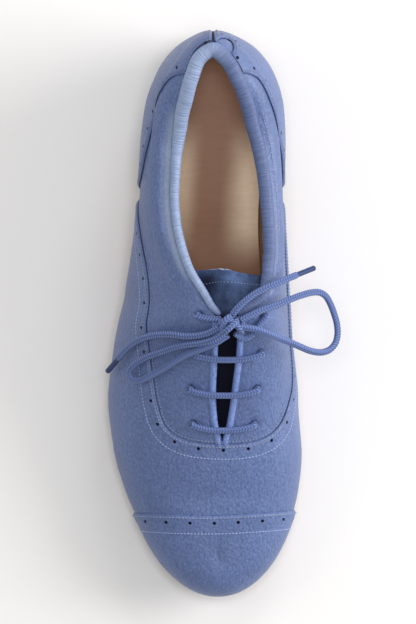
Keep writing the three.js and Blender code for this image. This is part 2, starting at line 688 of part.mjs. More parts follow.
function makeInsole() {
  const top = { height: (y) => soleTop(y) + GAP + INSOLE_THICKNESS, inset: 0 };
  const bottom = { height: (y) => soleTop(y) + GAP, inset: 0 };
  return plate(STATIONS, insoleMargin, top, bottom);
}

function makeOutsole() {
  return plate(STATIONS, soleMargin, { height: soleTop, inset: 0 }, { height: soleBottom, inset: SOLE_BEVEL });
}

function makeHeel() {
  const top = { height: (y) => soleBottom(y) - GAP, inset: SOLE_BEVEL };
  const bottom = { height: () => TAP_THICKNESS + GAP, inset: HEEL_TAPER };
  return plate(HEEL_STATIONS, soleMargin, top, bottom);
}

function makeHeelTap() {
  const top = { height: () => TAP_THICKNESS, inset: 0 };
  const bottom = { height: () => 0, inset: 0 };
  return plate(HEEL_STATIONS, tapMargin, top, bottom);
}

function makeToeTap() {
  const stations = [TOE_TAP_REACH, ...STATIONS.filter((share) => share > TOE_TAP_REACH)];
  const top = { height: (y) => soleBottom(y) - GAP, inset: 0 };
  const bottom = { height: (y) => soleBottom(y) - GAP - TAP_THICKNESS, inset: 0 };
  const tap = toSolid(plate(stations, tapMargin, top, bottom));
  const back = alongAt(TOE_TAP_REACH);
  const middle = BALL_WIDTH * section.middle(TOE_TAP_REACH);
  const hollow = Array.from({ length: HOLLOW_STEPS + 1 }, (_, i) => {
    const angle = Math.PI * i / HOLLOW_STEPS;
    return new THREE.Vector2(
      middle - TOE_TAP_HOLLOW_WIDTH / 2 * Math.cos(angle),
      back + GAP - (TOE_TAP_HOLLOW + GAP) * Math.sin(angle),
    );
  });
  return tap.subtract(planPrism(hollow, -TAP_THICKNESS, SEAT_TOP));
}

// Screws hold the taps: places as shares of the length, and of half BALL_WIDTH from the middle line.
const TAP_SCREWS = [
  { name: 'toe_screw_1', share: 0.78, side: -0.55 },
  { name: 'toe_screw_2', share: 0.78, side: 0.55 },
  { name: 'toe_screw_3', share: 0.945, side: 0 },
  { name: 'heel_screw_1', share: 0.035, side: 0 },
  { name: 'heel_screw_2', share: 0.16, side: -0.4 },
  { name: 'heel_screw_3', share: 0.16, side: 0.4 },
];

function screwPlace({ share, side }) {
  const y = alongAt(share);
  const face = share < HEEL_REACH ? 0 : soleBottom(y) - GAP - TAP_THICKNESS;
  return new THREE.Vector3(BALL_WIDTH * (section.middle(share) + side / 2), y, face);
}

// A countersunk screw, its head down. With a clearance it is the hole for one, open below.
function screwBody(row, clearance) {
  const low = clearance > 0 ? -TAP_THICKNESS : SCREW_SINK;
  const neck = SCREW_SINK + SCREW_HEAD_HEIGHT;
  const tip = SCREW_SINK + SCREW_LENGTH + clearance;
  const geometry = new THREE.LatheGeometry([
    new THREE.Vector2(0, low),
    new THREE.Vector2(SCREW_HEAD_RADIUS + clearance, low),
    new THREE.Vector2(SCREW_HEAD_RADIUS + clearance, neck - SCREW_HEAD_HEIGHT / 2 + clearance),
    new THREE.Vector2(SCREW_SHANK_RADIUS + clearance, neck + clearance),
    new THREE.Vector2(SCREW_SHANK_RADIUS + clearance, tip),
    new THREE.Vector2(0, tip),
  ], TUBE_SIDES);
  geometry.rotateX(Math.PI / 2);
  const place = screwPlace(row);
  return toSolid(geometry.translate(place.x, place.y, place.z));
}

function drilled(solid, rows) {
  return rows.reduce((rest, row) => rest.subtract(screwBody(row, GAP)), solid);
}

// The rolled binding along the collar's edge, from one facing corner round the heel to the other. It
// leans in over the edge by BINDING_LEAN, in radians from the wall's own way up.
function makeBinding() {
  const shares = STATIONS.filter((share) => share < BINDING_END && share !== 0);
  const path = [
    ...shares.slice().reverse().map((share) => [OUTER, share]),
    [OUTER, 0],
    ...shares.map((share) => [INNER, share]),
  ];
  const points = path.map(([side, share]) => {
    const top = lastPoint(side, share, 1);
    const up = top.clone().sub(lastPoint(side, share, JUST_BELOW)).normalize();
    const { out } = stationPlan(side, share);
    const inward = new THREE.Vector3(-out.x, -out.y, 0);
    const lean = up.multiplyScalar(Math.cos(BINDING_LEAN)).addScaledVector(inward, Math.sin(BINDING_LEAN));
    const rim = top.addScaledVector(inward, WALL / 2);
    return rim.addScaledVector(lean.normalize(), BINDING_RADIUS + WALL / 2 + BINDING_CLEARANCE);
  });
  return tube(points, BINDING_RADIUS, BINDING_STEPS);
}

function laceTube(points) {
  const curve = new THREE.CatmullRomCurve3(points);
  return tube(points, LACE_DIAMETER / 2, Math.ceil(curve.getLength() / LACE_STEP));
}

function overSurface(side, share, out) {
  const height = LACE_DIAMETER / 2 + LACE_LIFT;
  return surfaceAt(side, share, out).addScaledVector(surfaceNormal(side, share, out), height);
}

// The lace's first points in an eyelet: it comes straight up out of the hole.
function fromEyelet(side, row) {
  const out = BALL_WIDTH * (side === INNER ? row.in : row.out);
  const normal = surfaceNormal(side, row.share, out);
  const rise = [-WALL / 6, LACE_DIAMETER / 2];
  return rise.map((amount) => surfaceAt(side, row.share, out).addScaledVector(normal, amount));
}

// One bar of the lace, over the facings from eyelet to eyelet, bowed a little towards the toe.
function barPoints(row) {
  const across = (side, part) => {
    const out = BALL_WIDTH * (side === INNER ? row.in : row.out) * part;
    return overSurface(side, row.share + LACE_BOW / LAST_LENGTH * (1 - part * part), out);
  };
  const parts = [0.85, 0.62, 0.4];
  return [
    ...fromEyelet(OUTER, row),
    ...parts.map((part) => across(OUTER, part)),
    ...parts.slice().reverse().map((part) => across(INNER, part)),
    ...fromEyelet(INNER, row).reverse(),
  ];
}

const INSTEP_TOP = soleTop(alongAt(EYELETS[0].share)) + INSTEP_HEIGHT;

function fromList(list) {
  return list.map(([x, y, height]) => new THREE.Vector3(x, y, INSTEP_TOP + height));
}

// The aglet carries on from its lace end, past the usual gap.
function makeAglet(list) {
  const [before, last] = fromList(list.slice(-2));
  const way = last.clone().sub(before).normalize();
  const start = last.clone().addScaledVector(way, GAP);
  return tube([start, start.clone().addScaledVector(way, AGLET_LENGTH)], AGLET_DIAMETER / 2, 1);
}

function makeKnot() {
  const ball = new THREE.SphereGeometry(1, 12, 8);
  ball.scale(...KNOT_SIZE.toArray());
  const [middle] = fromList([KNOT_MIDDLE]);
  return toGeometry(toSolid(ball.translate(...middle.toArray())));
}

const LEATHER = { color: 0x6d84b4, roughness: 0.55, metalness: 0 };
const LEATHER_EDGE = { color: 0x64799f, roughness: 0.6, metalness: 0 };
const TAN = { color: 0xb99a7a, roughness: 0.7, metalness: 0 };
const SOLE_LEATHER = { color: 0xb08a62, roughness: 0.7, metalness: 0 };
const LACE = { color: 0x5570ac, roughness: 0.8, metalness: 0 };
const AGLET = { color: 0x33477f, roughness: 0.4, metalness: 0 };
const METAL = { color: 0xb8bcc2, roughness: 0.25, metalness: 1 };

const shoe = new THREE.Group();

function addPiece(name, geometry, finish) {
  const mesh = new THREE.Mesh(geometry, new THREE.MeshStandardMaterial(finish));
  mesh.name = name;
  shoe.add(mesh);
}

addPiece('upper', makeUpper(), LEATHER);
addPiece('vamp', makeVamp(), LEATHER);
addPiece('toe_cap', makeToeCap(), LEATHER);
addPiece('counter_lateral', makeCounter(OUTER), LEATHER);
addPiece('counter_medial', makeCounter(INNER), LEATHER);
addPiece('collar_binding', makeBinding(), LEATHER_EDGE);
addPiece('tongue', makeTongue(), LEATHER_EDGE);
addPiece('insole', makeInsole(), TAN);

const toeScrews = TAP_SCREWS.filter((row) => row.share > HEEL_REACH);
const heelScrews = TAP_SCREWS.filter((row) => row.share < HEEL_REACH);
addPiece('outsole', toGeometry(drilled(toSolid(makeOutsole()), toeScrews)), SOLE_LEATHER);
addPiece('heel', toGeometry(drilled(toSolid(makeHeel()), heelScrews)), SOLE_LEATHER);
addPiece('toe_tap', toGeometry(drilled(makeToeTap(), toeScrews)), METAL);
addPiece('heel_tap', toGeometry(drilled(toSolid(makeHeelTap()), heelScrews)), METAL);
for (const row of TAP_SCREWS) addPiece(row.name, toGeometry(screwBody(row, 0)), METAL);

EYELETS.slice(1).forEach((row, i) => addPiece(`lace_bar_${i + 1}`, laceTube(barPoints(row)), LACE));
const [topEyelets] = EYELETS;
addPiece('lace_run_lateral', laceTube([...fromEyelet(OUTER, topEyelets), ...fromList(RUN_LATERAL)]), LACE);
addPiece('lace_run_medial', laceTube([...fromEyelet(INNER, topEyelets), ...fromList(RUN_MEDIAL)]), LACE);
addPiece('lace_knot', makeKnot(), LACE);
addPiece('lace_loop_lateral', laceTube(fromList(LOOP_LATERAL)), LACE);
addPiece('lace_loop_medial', laceTube(fromList(LOOP_MEDIAL)), LACE);
addPiece('lace_end_lateral', laceTube(fromList(END_LATERAL)), LACE);
addPiece('lace_end_medial', laceTube(fromList(END_MEDIAL)), LACE);
addPiece('aglet_lateral', makeAglet(END_LATERAL), AGLET);
addPiece('aglet_medial', makeAglet(END_MEDIAL), AGLET);

// The origin is under the middle of the shoe's box, its bow left out.
const BOW = ['lace_knot', 'lace_loop_', 'lace_end_', 'aglet_'];
const box = new THREE.Box3();
for (const piece of shoe.children) {
  if (!BOW.some((start) => piece.name.startsWith(start))) box.expandByObject(piece);
}
const middle = box.getCenter(new THREE.Vector3());
shoe.position.set(-middle.x, -middle.y, -box.min.z);

export default shoe;
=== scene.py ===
"""Looks for a right foot's laced oxford tap shoe in soft blue leather, seen from straight above.

Sizes inside this file are millimetres in the part's own frame, with the heel to +Y, the toe to -Y and
the big toe's side to +X. They become metres in the row frame where a mesh is made.
"""

import math
from functools import cache

import bpy
import numpy as np
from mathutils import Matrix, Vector, geometry, kdtree


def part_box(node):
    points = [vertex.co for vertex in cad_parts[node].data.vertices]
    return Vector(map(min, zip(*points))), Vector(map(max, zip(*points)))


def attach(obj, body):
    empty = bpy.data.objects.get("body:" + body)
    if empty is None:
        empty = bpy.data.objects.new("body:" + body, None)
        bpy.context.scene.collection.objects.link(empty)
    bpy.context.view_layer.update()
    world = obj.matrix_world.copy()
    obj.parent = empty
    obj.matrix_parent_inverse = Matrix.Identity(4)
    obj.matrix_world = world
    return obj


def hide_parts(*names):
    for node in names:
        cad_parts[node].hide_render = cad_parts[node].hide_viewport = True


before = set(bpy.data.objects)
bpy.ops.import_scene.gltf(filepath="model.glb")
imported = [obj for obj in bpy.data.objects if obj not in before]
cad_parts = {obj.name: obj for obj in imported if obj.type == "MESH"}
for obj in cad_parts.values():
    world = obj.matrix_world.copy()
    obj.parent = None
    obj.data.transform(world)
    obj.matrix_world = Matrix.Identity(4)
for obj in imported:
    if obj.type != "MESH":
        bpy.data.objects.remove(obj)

bl_info = {
    "name": "Tap shoe",
    "version": (1, 0, 0),
    "blender": (4, 5, 0),
    "location": "3D View > Sidebar > Tap shoe",
    "description": "Builds the leather, seams, laces and sole of a laced tap shoe round its solids",
    "category": "Add Mesh",
}

BODY = "root"

# The shoe's driving sizes and tables, the same as in the part's source.
LAST_LENGTH = 259.4
BALL_WIDTH = 87.6
INSTEP_HEIGHT = 70.0
CUP_HEIGHT = 20.0
FEATHER_INSET = 9.0
HEEL_STACK = 17.4
TOE_SPRING = 6.4
WALL = 1.8
OVERLAY = 1.0
GAP = 0.3
SOLE_FOREFOOT = 4.2
SOLE_SEAT = 3.6
SOLE_WELT = 2.0
SOLE_BEVEL = 0.8
TAP_THICKNESS = 2.3
HEEL_TAPER = 1.5
HEEL_REACH = 0.235
INSOLE_THICKNESS = 2.0
INSOLE_CLEARANCE = 2.2
TONGUE_THICKNESS = 2.0
TONGUE_CLEARANCE = 1.2
TONGUE_WIDTH = 33.0
TONGUE_TOP = 0.422
TONGUE_ROOT = 0.765
TONGUE_LIFT = 7.0
TONGUE_FLARE = 0.17
TONGUE_CURL = 1.3
COLLAR_PAD = 1.6
COLLAR_PAD_WIDTH = 15.0
BINDING_RADIUS = 2.7
BINDING_LEAN = 0.64
LACE_LIFT = 0.5
LACE_BOW = 2.4
AGLET_LENGTH = 12.0
HEEL_POLE = 0.15
HEEL_FAN = 0.3
TOE_START = 0.8
TOE_CLOSE = 0.325
FEATHER_ANGLE = 0.35
PROFILE_STEPS = 48

# Sections across the last, by share of its length from the heel's back to the toe's tip.
SECTION_NAMES = ("share", "half", "middle", "ridge_side", "rise", "spring", "bulge", "crown",
                 "tuck_out", "tuck_in", "full_out", "full_in")
SECTIONS = (
    (0, 0, 0.042, 0.052, 1, 0, 0.95, 0.886, 0.33, 0.33, 2, 2),
    (0.009, 0.101, 0.048, 0.052, 1, 0, 0.95, 0.884, 0.33, 0.33, 2, 2),
    (0.035, 0.217, 0.053, 0.052, 1, 0, 0.95, 0.865, 0.33, 0.34, 2, 2),
    (0.078, 0.303, 0.054, 0.052, 1, 0, 0.95, 0.815, 0.34, 0.36, 2, 2),
    (0.135, 0.354, 0.049, 0.052, 1, 0, 0.94, 0.745, 0.36, 0.42, 2, 2),
    (0.206, 0.371, 0.041, 0.064, 1, 0, 0.9, 0.69, 0.42, 0.6, 2, 2.1),
    (0.287, 0.376, 0.031, 0.081, 0.86, 0, 0.85, 0.71, 0.5, 0.85, 2, 2.3),
    (0.376, 0.395, 0.024, 0.098, 0.51, 0, 0.8, 0.815, 0.56, 1, 1.9, 2.6),
    (0.469, 0.425, 0.01, 0.119, 0.18, 0, 0.72, 0.955, 0.56, 0.95, 1.8, 3),
    (0.506, 0.44, 0.003, 0.124, 0.1, 0, 0.68, 1, 0.54, 0.86, 1.8, 3.1),
    (0.563, 0.463, -0.008, 0.117, 0.02, 0, 0.62, 0.9, 0.52, 0.7, 1.8, 3.1),
    (0.655, 0.491, -0.01, 0.096, 0, 0, 0.57, 0.74, 0.5, 0.54, 1.9, 2.8),
    (0.741, 0.486, 0.013, 0.088, 0, 0, 0.54, 0.625, 0.5, 0.5, 2.05, 2.5),
    (0.819, 0.445, 0.036, 0.078, 0, 0, 0.52, 0.53, 0.5, 0.5, 2.2, 2.4),
    (0.885, 0.373, 0.053, 0.072, 0, 0.2, 0.5, 0.44, 0.5, 0.5, 2.35, 2.35),
    (0.938, 0.289, 0.06, 0.069, 0, 0.5, 0.48, 0.35, 0.5, 0.5, 2.4, 2.4),
    (0.975, 0.189, 0.065, 0.067, 0, 0.78, 0.46, 0.28, 0.5, 0.5, 2.4, 2.4),
    (0.994, 0.096, 0.067, 0.067, 0, 0.94, 0.45, 0.25, 0.5, 0.5, 2.4, 2.4),
    (1, 0, 0.067, 0.067, 0, 1, 0.45, 0.25, 0.5, 0.5, 2.4, 2.4),
)

# The collar's and lacing gap's edge: share, outer side, inner side, as shares of the reach.
EDGES = (
    (0, 0.87, 0.87),
    (0.009, 0.825, 0.775),
    (0.035, 0.68, 0.654),
    (0.078, 0.619, 0.621),
    (0.135, 0.613, 0.641),
    (0.206, 0.624, 0.743),
    (0.287, 0.635, 0.849),
    (0.34, 0.598, 0.869),
    (0.376, 0.54, 0.865),
    (0.42, 0.44, 0.815),
    (0.469, 0.262, 0.69),
    (0.49, 0.193, 0.43),
    (0.502, 0.129, 0.239),
    (0.515, 0.095, 0.168),
    (0.6, 0.077, 0.128),
    (0.656, 0.064, 0.099),
    (0.7, 0.038, 0.055),
    (0.733, 0, 0),
    (1, 0, 0),
)

# Eyelets: share, and distance from the ridge line as shares of BALL_WIDTH.
EYELETS = (
    (0.505, 0.158, 0.187),
    (0.572, 0.175, 0.177),
    (0.636, 0.175, 0.175),
    (0.699, 0.155, 0.167),
)

# The vamp's upper edge: share, and height over the sole on each side, as shares of INSTEP_HEIGHT.
THROAT_SEAM = (
    (0.29, 0, 0),
    (0.3, 0.18, 0.17),
    (0.322, 0.31, 0.27),
    (0.36, 0.45, 0.35),
    (0.42, 0.6, 0.4),
    (0.495, 0.67, 0.43),
    (0.565, 0.655, 0.44),
    (0.62, 0.635, 0.47),
    (0.665, 0.61, 0.52),
    (0.7, 0.595, 0.56),
    (0.725, 0.61, 0.605),
    (0.74, 0.65, 0.65),
)

# The heel counters' front edge, in the same way.
COUNTER_SEAM = (
    (0.28, 0, 0),
    (0.278, 0.16, 0.16),
    (0.266, 0.3, 0.29),
    (0.248, 0.38, 0.37),
    (0.209, 0.455, 0.465),
    (0.166, 0.545, 0.58),
    (0.128, 0.645, 0.67),
    (0.102, 0.7, 0.72),
    (0.087, 0.745, 0.755),
    (0.08, 0.8, 0.8),
    (0.074, 0.9, 0.9),
)

# The toe cap's edge: share, and side as a share of half BALL_WIDTH.
CAP_EDGE = (
    (0.852, -1.2),
    (0.858, -0.5),
    (0.86, 0.1),
    (0.855, 0.7),
    (0.848, 1.2),
)

# The bow, as points along the lace's middle line, with heights over the instep's top.
KNOT_MIDDLE = (11.4, -5.2, 3.6)
RUN_LATERAL = ((-0.4, -2.4, -0.1), (3.6, -3, 0.7), (7.4, -3, 1.1))
RUN_MEDIAL = ((25.4, -5.2, -1.3), (22, -9.9, -0.6), (17.8, -11.8, -0.5), (13.8, -9.4, 1.3))
LOOP_LATERAL = ((8.6, -9.6, 3.1), (4.3, -12.2, 0.8), (-1, -13.8, -2.3), (-7.5, -14.6, -6.2),
    (-13.8, -15.9, -10.5), (-20, -18, -15.5), (-26.3, -20.3, -21.2), (-31, -22.8, -26.3),
    (-33.9, -25.4, -29.6), (-34.8, -28.4, -31.1), (-33.2, -31, -29.9), (-29.8, -31.3, -26.3),
    (-25.6, -29.3, -22.2), (-20, -26.2, -17.9), (-13.8, -22.4, -12.9), (-7.5, -18.8, -8.1),
    (-1.4, -16.6, -4.3), (5, -13.8, -1.3), (10.6, -10.2, 0.7))
LOOP_MEDIAL = ((16.4, -3.4, 4.5), (20.5, -1.4, 4.5), (26.4, 1.3, 3.5), (33, 3.6, 0.9),
    (39.4, 6.2, -2.9), (44.2, 8, -6.3), (49, 9.3, -9.9), (52.6, 9.4, -12.7), (55.5, 7.8, -15.2),
    (57.8, 4.1, -17.6), (59.6, -0.5, -19.5), (60.9, -5.2, -20.6), (61.2, -9.9, -20.9),
    (60.2, -14, -20.3), (57.6, -17, -18.9), (53.7, -18.3, -16.7), (49, -17.7, -14.1),
    (44.6, -16, -11.5), (40.1, -14, -8.6), (34.8, -11.9, -4.9), (29.5, -9.7, 0.3),
    (24.1, -7.7, 2.9), (16.4, -6.4, 3.9))
END_LATERAL = ((6.6, -6.6, 3.1), (0.7, -9.6, -0.6), (-7.5, -10.8, -4.7), (-15.9, -10, -9),
    (-24.2, -10.5, -16.1), (-30.5, -12.6, -23.5), (-34.8, -15.4, -29.6), (-37.7, -18.4, -34.4),
    (-40.1, -21.2, -38.3))
END_MEDIAL = ((12.8, -0.6, 4.7), (15.2, 2.4, 5.9), (18.8, 5.7, 6.5), (23, 8.8, 6.4),
    (27.9, 11.4, 5.8), (33.2, 13.6, 3.9), (38.2, 15.8, 0.5), (42, 17.3, -2.9))

SEAT_TOP = TAP_THICKNESS + GAP + HEEL_STACK + GAP + SOLE_SEAT
FOREFOOT_TOP = TAP_THICKNESS + GAP + SOLE_FOREFOOT
OUTER = -1
INNER = 1
SIDES = (OUTER, INNER)
BOTH_SIDES = ((OUTER, 1), (INNER, 2))
UP = np.array([0.0, 0.0, 1.0])
MM = 0.001
TINY = 1e-9

# Columns of a mesh's table of corners. A place and a normal come first, three columns each.
PLACE = slice(0, 3)
NORMAL = slice(3, 6)
SIDE, SHARE, BELOW, INSIDE = 6, 7, 8, 9


def unit(vectors):
    """Vectors at length 1, and those with hardly any length as they are."""
    size = np.linalg.norm(vectors, axis=-1, keepdims=True)
    return vectors / np.where(size < TINY, 1, size)


def running_lengths(line):
    """How far along a line each of its points lies."""
    return np.concatenate([[0], np.cumsum(np.linalg.norm(np.diff(line, axis=0), axis=1))])


def sampled(line, lengths, wanted):
    """A line's columns at wanted lengths along it."""
    return np.stack([np.interp(wanted, lengths, column) for column in np.asarray(line).T], 1)


def cosine_shares(count):
    """Shares from 0 to 1 that lie closer together towards both ends."""
    return (1 - np.cos(np.linspace(0, math.pi, count))) / 2


def turn_angles(sides):
    return np.linspace(0, 2 * math.pi, sides, endpoint=False)


def tube_faces(rings, sides, start=0):
    """Quads between closed rings of corners."""
    return [(start + i * sides + j, start + i * sides + (j + 1) % sides,
             start + (i + 1) * sides + (j + 1) % sides, start + (i + 1) * sides + j)
            for i in range(rings - 1) for j in range(sides)]


def spread(share):
    return np.arccos(1 - 2 * np.clip(share, 0, 1)) / np.pi


class Column:
    """A smooth curve through one column of a table, without overshoot, as the part has it."""

    def __init__(self, rows, index):
        x = spread(np.array([row[0] for row in rows], float))
        y = np.array([row[index] for row in rows], float)
        slope = np.diff(y) / np.diff(x)
        tangent = np.empty_like(y)
        tangent[0] = slope[0]
        tangent[-1] = slope[-1]
        product = slope[:-1] * slope[1:]
        total = slope[:-1] + slope[1:]
        total = np.where(np.abs(total) < TINY, 1, total)
        tangent[1:-1] = np.where(product <= 0, 0, 2 * product / total)
        self.x, self.y, self.tangent = x, y, tangent

    def __call__(self, share):
        at = spread(share)
        i = np.clip(np.searchsorted(self.x, at, side="left") - 1, 0, len(self.x) - 2)
        step = self.x[i + 1] - self.x[i]
        t = (at - self.x[i]) / step
        rise = self.y[i + 1] - self.y[i]
        cubic = (self.tangent[i] + self.tangent[i + 1]) * step - 2 * rise
        square = 3 * rise - (2 * self.tangent[i] + self.tangent[i + 1]) * step
        return self.y[i] + t * (self.tangent[i] * step + t * (square + t * cubic))


section = {name: Column(SECTIONS, i) for i, name in enumerate(SECTION_NAMES) if i}
edge = {OUTER: Column(EDGES, 1), INNER: Column(EDGES, 2)}
fullness = {OUTER: section["full_out"], INNER: section["full_in"]}
tuck = {OUTER: section["tuck_out"], INNER: section["tuck_in"]}


def along_at(share):
    return LAST_LENGTH * (0.5 - share)


def share_at(y):
    return np.clip(0.5 - y / LAST_LENGTH, 0, 1)


def sole_top(y):
    share = share_at(y)
    lift = section["rise"](share) * (SEAT_TOP - FOREFOOT_TOP)
    return FOREFOOT_TOP + lift + section["spring"](share) * TOE_SPRING


def sole_bottom(y):
    return sole_top(y) - SOLE_FOREFOOT + section["rise"](share_at(y)) * (SOLE_FOREFOOT - SOLE_SEAT)


def ridge_share(share):
    if share < HEEL_FAN:
        return HEEL_POLE + (share / HEEL_FAN) ** 2 * (HEEL_FAN - HEEL_POLE)
    if share > TOE_START:
        past = (share - TOE_START) / (1 - TOE_START)
        return TOE_START + (1 - TOE_START) * (past - TOE_CLOSE * past * past)
    return share


def station_plan(side, share):
    """A station's ridge point, widest point, way out and reach, in plan."""
    at = ridge_share(share)
    ridge = np.array([BALL_WIDTH * float(section["ridge_side"](at)), along_at(at)])
    half = float(section["middle"](share) + side * section["half"](share))
    widest = np.array([BALL_WIDTH * half, along_at(share)])
    out = widest - ridge
    reach = math.hypot(*out)
    return ridge, widest, out / reach, reach


def station_profile(side, share):
    """One side's profile at a station: its plan, and its points as (out, height) pairs."""
    ridge, widest, out, reach = station_plan(side, share)
    full = float(fullness[side](share))
    inset = FEATHER_INSET * float(tuck[side](share))
    feather = widest - out * inset
    low = float(sole_top(feather[1])) + GAP
    wide = float(sole_top(widest[1])) + CUP_HEIGHT * float(section["bulge"](share))
    crown_share = share if share < HEEL_FAN else ridge_share(share)
    crown = float(sole_top(along_at(crown_share))) + INSTEP_HEIGHT * float(section["crown"](crown_share))
    opened = max(0.0, float(edge[side](share)))
    top = wide + (crown - wide) / (1 - opened**full) ** (1 / full)
    last = math.acos(min(1, opened ** (full / 2)))
    angle = np.linspace(FEATHER_ANGLE, math.pi / 2, PROFILE_STEPS + 1)
    lower = np.stack([
        reach - inset * (1 - np.sin(angle)) / (1 - math.sin(FEATHER_ANGLE)),
        wide - (wide - low) * np.cos(angle) / math.cos(FEATHER_ANGLE),
    ], 1)
    angle = last * np.arange(1, PROFILE_STEPS + 1) / PROFILE_STEPS
    higher = np.stack([
        reach * np.maximum(0, np.cos(angle)) ** (2 / full),
        wide + (top - wide) * np.sin(angle) ** (2 / full),
    ], 1)
    return ridge, out, np.concatenate([lower, higher])


def smoothstep(value, low, high):
    t = np.clip((value - low) / (high - low), 0, 1)
    return t * t * (3 - 2 * t)


def collar_pad(share, below):
    fade = smoothstep(0.5 - share, 0.01, 0.07)
    swell = np.sin(np.pi * np.clip(below / COLLAR_PAD_WIDTH, 0, 1))
    return COLLAR_PAD * fade * swell


def station_points(side, share, fractions):
    """Places on the outside at fractions of the profile's length, and how far below its top they are."""
    ridge, out, points = station_profile(side, share)
    lengths = running_lengths(points)
    wanted = fractions * lengths[-1]
    below = lengths[-1] - wanted
    reach, height = sampled(points, lengths, wanted).T
    plan = ridge + np.outer(reach + collar_pad(share, below), out)
    return np.column_stack([plan, height]), below


def surface_at(side, share, out):
    ridge, way, points = station_profile(side, share)
    higher = points[PROFILE_STEPS:][::-1]
    return np.array([*(ridge + way * out), np.interp(out, higher[:, 0], higher[:, 1])])


def surface_normal(side, share, out, step=0.01, reach=1):
    along = surface_at(side, share + step, out) - surface_at(side, share - step, out)
    across = surface_at(side, share, out + reach) - surface_at(side, share, out - reach)
    normal = unit(np.cross(along, across))
    return -normal if normal[2] < 0 else normal


INSTEP_TOP = float(sole_top(along_at(EYELETS[0][0]))) + INSTEP_HEIGHT


# Where the rear screw stands, as a share of the length.
REAR_SCREW = 0.035


def frame_shift():
    """What part.mjs moves the shoe by, read off the rear screw, in millimetres."""
    low, high = (np.array(corner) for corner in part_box("heel_screw_1"))
    own = np.array([BALL_WIDTH * float(section["middle"](REAR_SCREW)), along_at(REAR_SCREW)])
    return np.array([*((low + high)[:2] / 2 / MM - own), 0.0])


SHIFT = frame_shift()


def to_row(points):
    return (np.asarray(points, float) + SHIFT) * MM


def from_list(rows):
    return np.array([[x, y, INSTEP_TOP + height] for x, y, height in rows])


# Meshes as tables of corners: place, normal, side, share along the shoe, distance below the collar's
# or facing's edge and, in a panel cut from it, distance inside the cut edge.
def area_normals(places, triangles):
    a, b, c = (places[triangles[:, i]] for i in range(3))
    cross = np.cross(b - a, c - a)
    normals = np.zeros_like(places)
    for i in range(3):
        np.add.at(normals, triangles[:, i], cross)
    return unit(normals)


def surface_grid(stations, rows):
    """The upper's outer face as (table, triangles)."""
    places = []
    triangles = []
    index = {}

    def corner(side, i, j, place, below):
        on_seam = i in (0, len(stations) - 1)
        on_ridge = j == len(rows) - 1 and float(edge[OUTER](stations[i])) < 1e-6
        key = (0 if on_seam or on_ridge else side, i, j)
        if key not in index:
            index[key] = len(places)
            places.append([*place, 0, 0, 0, side, stations[i], below])
        return index[key]

    for side in SIDES:
        grid = []
        for i, share in enumerate(stations):
            line, below = station_points(side, share, rows)
            grid.append([corner(side, i, j, line[j], below[j]) for j in range(len(rows))])
        for i in range(len(stations) - 1):
            for j in range(len(rows) - 1):
                a, b, c, d = grid[i][j], grid[i + 1][j], grid[i + 1][j + 1], grid[i][j + 1]
                faces = ((a, b, c), (a, c, d)) if side == OUTER else ((a, c, b), (a, d, c))
                triangles.extend(face for face in faces if len(set(face)) == 3)
    table = np.array(places)
    triangles = np.array(triangles)
    table[:, NORMAL] = area_normals(table[:, PLACE], triangles)
    return table, triangles


def cut(table, triangles, field, keep_both=False):
    """Cuts triangles along field = 0 and keeps those where it is positive, or both halves."""
    field = np.where(np.abs(field) < 1e-6, 1e-6, field)
    positive = field > 0
    count = positive[triangles].sum(1)
    mixed = triangles[(count > 0) & (count < 3)]
    whole = triangles[count == 3]
    other = triangles[count == 0]
    added = []
    known = {}

    def crossing(a, b):
        key = (a, b) if a < b else (b, a)
        if key not in known:
            low, high = key
            t = field[low] / (field[low] - field[high])
            known[key] = len(table) + len(added)
            added.append(table[low] * (1 - t) + table[high] * t)
        return known[key]

    kept = []
    dropped = []
    for face in mixed.tolist():
        inside = [positive[v] for v in face]
        while not (inside[0] != inside[2] and inside[0] != inside[1]):
            face = face[1:] + face[:1]
            inside = inside[1:] + inside[:1]
        a, b, c = face
        ab, ac = crossing(a, b), crossing(a, c)
        tip = [(a, ab, ac)]
        rest = [(ab, b, c), (ab, c, ac)]
        kept.extend(tip if inside[0] else rest)
        dropped.extend(rest if inside[0] else tip)
    parts = [whole] + ([np.array(kept)] if kept else [])
    if keep_both:
        parts += [other] + ([np.array(dropped)] if dropped else [])
    table = np.vstack([table, np.array(added)]) if added else table
    triangles = np.vstack(parts)
    used, where = np.unique(triangles, return_inverse=True)
    table = table[used]
    table[:, NORMAL] = unit(table[:, NORMAL])
    on_line = np.isin(used, list(known.values()))
    return table, where.reshape(-1, 3), on_line


def border_edges(triangles):
    """Directed edges that only one triangle has."""
    edges = np.vstack([triangles[:, [0, 1]], triangles[:, [1, 2]], triangles[:, [2, 0]]])
    size = int(triangles.max()) + 1
    keys = edges[:, 0] * size + edges[:, 1]
    reverse = edges[:, 1] * size + edges[:, 0]
    return edges[~np.isin(keys, reverse)]


def polyline_distance(points, line):
    """Plain distance from points to an open line, both two-dimensional."""
    best = np.full(len(points), np.inf)
    for a, b in zip(line[:-1], line[1:]):
        way = b - a
        size = max(float(way @ way), TINY)
        t = np.clip((points - a) @ way / size, 0, 1)
        best = np.minimum(best, np.linalg.norm(points - a - t[:, None] * way, axis=1))
    return best


def inside_polygon(points, polygon):
    inside = np.zeros(len(points), bool)
    for a, b in zip(polygon, np.roll(polygon, -1, axis=0)):
        crosses = (a[1] > points[:, 1]) != (b[1] > points[:, 1])
        rise = b[1] - a[1] if b[1] != a[1] else TINY
        at = a[0] + (points[:, 1] - a[1]) / rise * (b[0] - a[0])
        inside ^= crosses & (points[:, 0] < at)
    return inside


